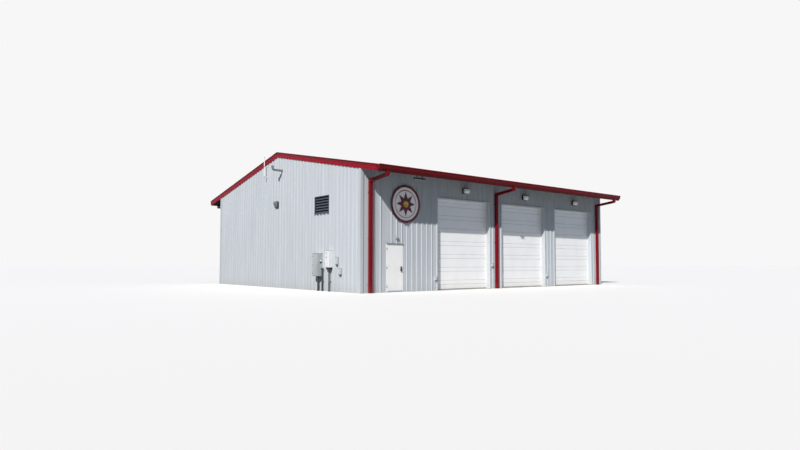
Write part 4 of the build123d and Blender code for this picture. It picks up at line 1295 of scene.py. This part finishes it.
# %% [markdown]
# Entry door. The leaf carries an aluminium sweep at its foot, and its lock has a
# round key cylinder and ten plain buttons. The hinge plates are held by small
# countersunk screws. What moves with the leaf rides on it. A button could be a block
# with rounded edges, but it stands out by only 3 mm, so a short cone does for each.

# %% Small pieces of the entry door
SWEEP_FOOT = 0.004
SWEEP_LINE = ((-EMBED, 0.0), (0.007, 0.0), (0.007, 0.026), (0.003, 0.038), (-EMBED, 0.038))
SWEEP_ENDS = (0.05, 0.012)
LOCK_INSET = 0.076
LOCK_LEVEL = 1.04
LOCK_DEPTH = 0.028
BUTTON_ROWS = 5
BUTTON_STEP = 0.016
BUTTON_ASIDE = 0.011
LOWEST_BUTTON = 0.022
BUTTON_RISE = 0.003
BUTTON_RADIUS = 0.006
BUTTON_TIP = 0.005
CYLINDER_DROP = 0.092
CYLINDER_RISE = 0.005
CYLINDER_RADIUS = 0.014
CYLINDER_TIP = 0.012
KEYWAY_HALVES = (0.001, 0.006)
KEYWAY_RISES = (0.004, 0.0055)
HINGE_LEVELS = (0.1, 0.5, 0.9)
HINGE_PLATE = 0.003
HINGE_SCREWS = (-0.035, -0.012, 0.012, 0.035)
HINGE_SCREW_RISE = 0.0006
HINGE_SCREW_RADIUS = 0.0035
LEAF_SCREW_PLACE = 0.03
FRAME_SCREW_PLACE = -0.014

leaf_low, leaf_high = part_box("entry_leaf")
place = long_wall(-1, -leaf_low.y)
sweep, buttons, slot, leaf_screws, frame_screws = (bmesh.new() for n in range(5))
sweep_foot = leaf_low.z + SWEEP_FOOT
drawn(sweep, [(out, sweep_foot + up) for out, up in SWEEP_LINE],
      leaf_low.x + SWEEP_ENDS[0], leaf_high.x - SWEEP_ENDS[1], place)
x = leaf_high.x - LOCK_INSET
for row in range(BUTTON_ROWS):
    for side in (-1, 1):
        stud(buttons, x + side * BUTTON_ASIDE, LOCK_LEVEL + LOWEST_BUTTON + row * BUTTON_STEP,
             LOCK_DEPTH - EMBED, LOCK_DEPTH + BUTTON_RISE, BUTTON_RADIUS, place, 16, BUTTON_TIP)
key = LOCK_LEVEL - CYLINDER_DROP
stud(buttons, x, key, LOCK_DEPTH - EMBED, LOCK_DEPTH + CYLINDER_RISE, CYLINDER_RADIUS, place, 24,
     CYLINDER_TIP)
narrow, tall = KEYWAY_HALVES
plate(slot, x, narrow, [LOCK_DEPTH + rise for rise in KEYWAY_RISES], (key - tall, key + tall), place)
for share in HINGE_LEVELS:
    middle = leaf_low.z + share * (leaf_high.z - leaf_low.z)
    for rise in HINGE_SCREWS:
        for mesh, offset in ((leaf_screws, LEAF_SCREW_PLACE), (frame_screws, FRAME_SCREW_PLACE)):
            stud(mesh, leaf_low.x + offset, middle + rise, HINGE_PLATE - EMBED,
                 HINGE_PLATE + HINGE_SCREW_RISE, HINGE_SCREW_RADIUS, place, 12)
piece("leaf_sweep", sweep, mill_aluminium, "entry_door")
piece("lock_buttons_and_cylinder", buttons, stainless, "entry_door")
piece("keyway", slot, black_plastic, "entry_door")
piece("leaf_hinge_screws", leaf_screws, stainless, "entry_door")
piece("frame_hinge_screws", frame_screws, stainless)

# %% [markdown]
# Fittings high on the walls: a rubber boot and clamps on the flue, a cap and clamps
# on the mast, a flange below the louvre that the ribs cut into scallops, the lens
# of the bar lamp, and the seams of the soffit panels. The scallops could be cut out
# of one strip, but a short block in each pan gives the same edge with less work.

# %% Flue and mast
FLUE_Y = -0.51
FLUE_DROP = 0.672
FLUE_CLAMP = 0.062
FLUE_CLAMPS = (0.052, 0.25, 0.43)
FLUE_CLAMP_WIDTH = 0.014
ELBOW_OUT = 0.545
ELBOW_CLAMP = (0.13, 0.145)
BOOT_FOOT = 0.066
BOOT_RADIUS = 0.06
BOOT_RISES = (0.03, 0.06)
MAST_Y = 1.219
MAST_RADIUS = 0.024
CAP_DROP = 0.03
CAP_RISE = 0.006
CAP_GAUGE = 0.003
MAST_CLAMPS = (0.04, 0.623)
MAST_CLAMP_HALF = 0.034
MAST_CLAMP_RISE = 0.012
MAST_CLAMP_ROUND = 0.003
MAST_BOLT_ASIDE = 0.04
MAST_BOLT_LENGTH = 0.018
MAST_BOLT_RADIUS = 0.007

boot, clamps, mast_cap, mast_clamps = (bmesh.new() for n in range(4))
flue_z = soffit_line(FLUE_Y) - FLUE_DROP
stud(boot, FLUE_Y, flue_z, -EMBED, BOOT_RISES[0], BOOT_FOOT, LEFT, 32, BOOT_RADIUS)
stud(boot, FLUE_Y, flue_z, BOOT_RISES[0] - EMBED, BOOT_RISES[1], BOOT_RADIUS, LEFT, 32)
for out in FLUE_CLAMPS:
    stud(clamps, FLUE_Y, flue_z, out, out + FLUE_CLAMP_WIDTH, FLUE_CLAMP, LEFT, 32)
elbow_foot, elbow_top = [flue_z + rise for rise in ELBOW_CLAMP]
post(clamps, FLUE_Y, RIB_HEIGHT + ELBOW_OUT, elbow_foot, elbow_top, FLUE_CLAMP, LEFT, 32)

mast_low, mast_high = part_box("mast")
mast_out = -mast_low.x - MAST_RADIUS - crest_x
post(mast_cap, MAST_Y, mast_out, mast_high.z - CAP_DROP, mast_high.z + CAP_RISE,
     MAST_RADIUS + CAP_GAUGE, GABLE, 24, MAST_RADIUS)
for level in (mast_low.z + rise for rise in MAST_CLAMPS):
    plate(mast_clamps, MAST_Y, MAST_CLAMP_HALF, (mast_out - MAST_CLAMP_HALF, mast_out + MAST_CLAMP_HALF),
          (level - MAST_CLAMP_RISE, level + MAST_CLAMP_RISE), GABLE, MAST_CLAMP_ROUND)
    for side in (-1, 1):
        stud(mast_clamps, MAST_Y + side * MAST_BOLT_ASIDE, level, EMBED, MAST_BOLT_LENGTH,
             MAST_BOLT_RADIUS, GABLE, 6)
piece("flue_boot", boot, soffit_coating)
piece("flue_clamps", clamps, bright_zinc)
piece("mast_cap", mast_cap, black_plastic)
piece("mast_clamps", mast_clamps, bronze)

# %% Louvre, bar lamp and soffit
FLANGE_HEIGHT = 0.05
FLANGE_RISE = 0.004
BAR_ENDS = 0.02
BAR_SIDES = 0.012
BAR_LENS = 0.006
LENS_ROUND = 0.002
SOFFIT_STEP = 0.61
SEAM_HALF = 0.006
SEAM_RISE = 0.003
EDGE_STRIP = 0.03
STRIP_RISE = 0.0045
EDGE_GAP = 0.002
SOFFIT_GAP = 0.01

flange, bar, seams = (bmesh.new() for n in range(3))
edges = [louvre_low.y]
for u in rib_places(gable_length, False):
    if louvre_low.y < u < louvre_high.y:
        edges += [u - RIB_BASE / 2, u + RIB_BASE / 2]
edges.append(louvre_high.y)
for start, end in zip(edges[::2], edges[1::2]):
    block(flange, (start, -EMBED, louvre_low.z - FLANGE_HEIGHT),
          (end, FLANGE_RISE, louvre_low.z + EMBED), LEFT)

bar_low, bar_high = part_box("sign_lamp")
block(bar, (bar_low.x + BAR_ENDS, bar_low.y + BAR_SIDES, bar_low.z - BAR_LENS),
      (bar_high.x - BAR_ENDS, bar_high.y - BAR_SIDES, bar_low.z + EMBED), bevel=LENS_ROUND)

for side, back in gutter_backs.items():
    place = roof_slope(side, RAKE_DEPTH, -1)
    first, last = [y / math.cos(pitch) for y in (crest_y + SOFFIT_GAP, back - SOFFIT_GAP)]
    count = int(crest_x / SOFFIT_STEP)
    for n in range(-count, count + 1):
        plate(seams, n * SOFFIT_STEP, SEAM_HALF, (-EMBED, SEAM_RISE), (first, last), place)
    for start in (first, last - EDGE_STRIP):
        plate(seams, 0, crest_x - EDGE_GAP, (-EMBED, STRIP_RISE), (start, start + EDGE_STRIP), place)
piece("louvre_flange", flange, bronze)
piece("bar_lamp_lens", bar, lens_glass)
piece("soffit_seams", seams, soffit_coating)

# %% [markdown]
# Frame feet. Every column stands on a steel plate with four anchor bolts, seen
# only through the open door. A plate is a rounded block and a bolt two short rods.

# %% Column base plates
PLATE_HALF = (0.095, 0.18)
PLATE_THICK = 0.012
PLATE_ROUND = 0.002
COLUMN_MIDDLE = 0.15
GIRT_DEPTH = 0.203
COLUMN_FLANGE_HALF = 0.075
BOLT_PLACES = [(across, along) for across in (-0.06, 0.06) for along in (-0.155, 0.155)]
# Height and radius, and the number of sides
BOLT_RODS = ((0.018, 0.016, 6), (0.045, 0.01, 12))

end_frame = pan_x - SHEET_BACK - GIRT_DEPTH - COLUMN_FLANGE_HALF
centres = [(start + end) / 2 for start, end, top in bays]
half_bay = (centres[1] - centres[0]) / 2
frames = [-end_frame, centres[0] - half_bay, centres[0] + half_bay, centres[1] + half_bay, end_frame]
column_y = pan_y - SHEET_BACK - GIRT_DEPTH - COLUMN_MIDDLE
bolt_foot = SLAB_TOP + PLATE_THICK - EMBED
plates, bolts = bmesh.new(), bmesh.new()
for x in frames:
    for y in (-column_y, column_y):
        block(plates, (x - PLATE_HALF[0], y - PLATE_HALF[1], SLAB_TOP - EMBED),
              (x + PLATE_HALF[0], y + PLATE_HALF[1], SLAB_TOP + PLATE_THICK), bevel=PLATE_ROUND)
        for across, along in BOLT_PLACES:
            for height, radius, sides in BOLT_RODS:
                post(bolts, x + across, y + along, bolt_foot, bolt_foot + height, radius, Matrix(), sides)
piece("column_base_plates", plates, primer)
piece("anchor_bolts", bolts, zinc)
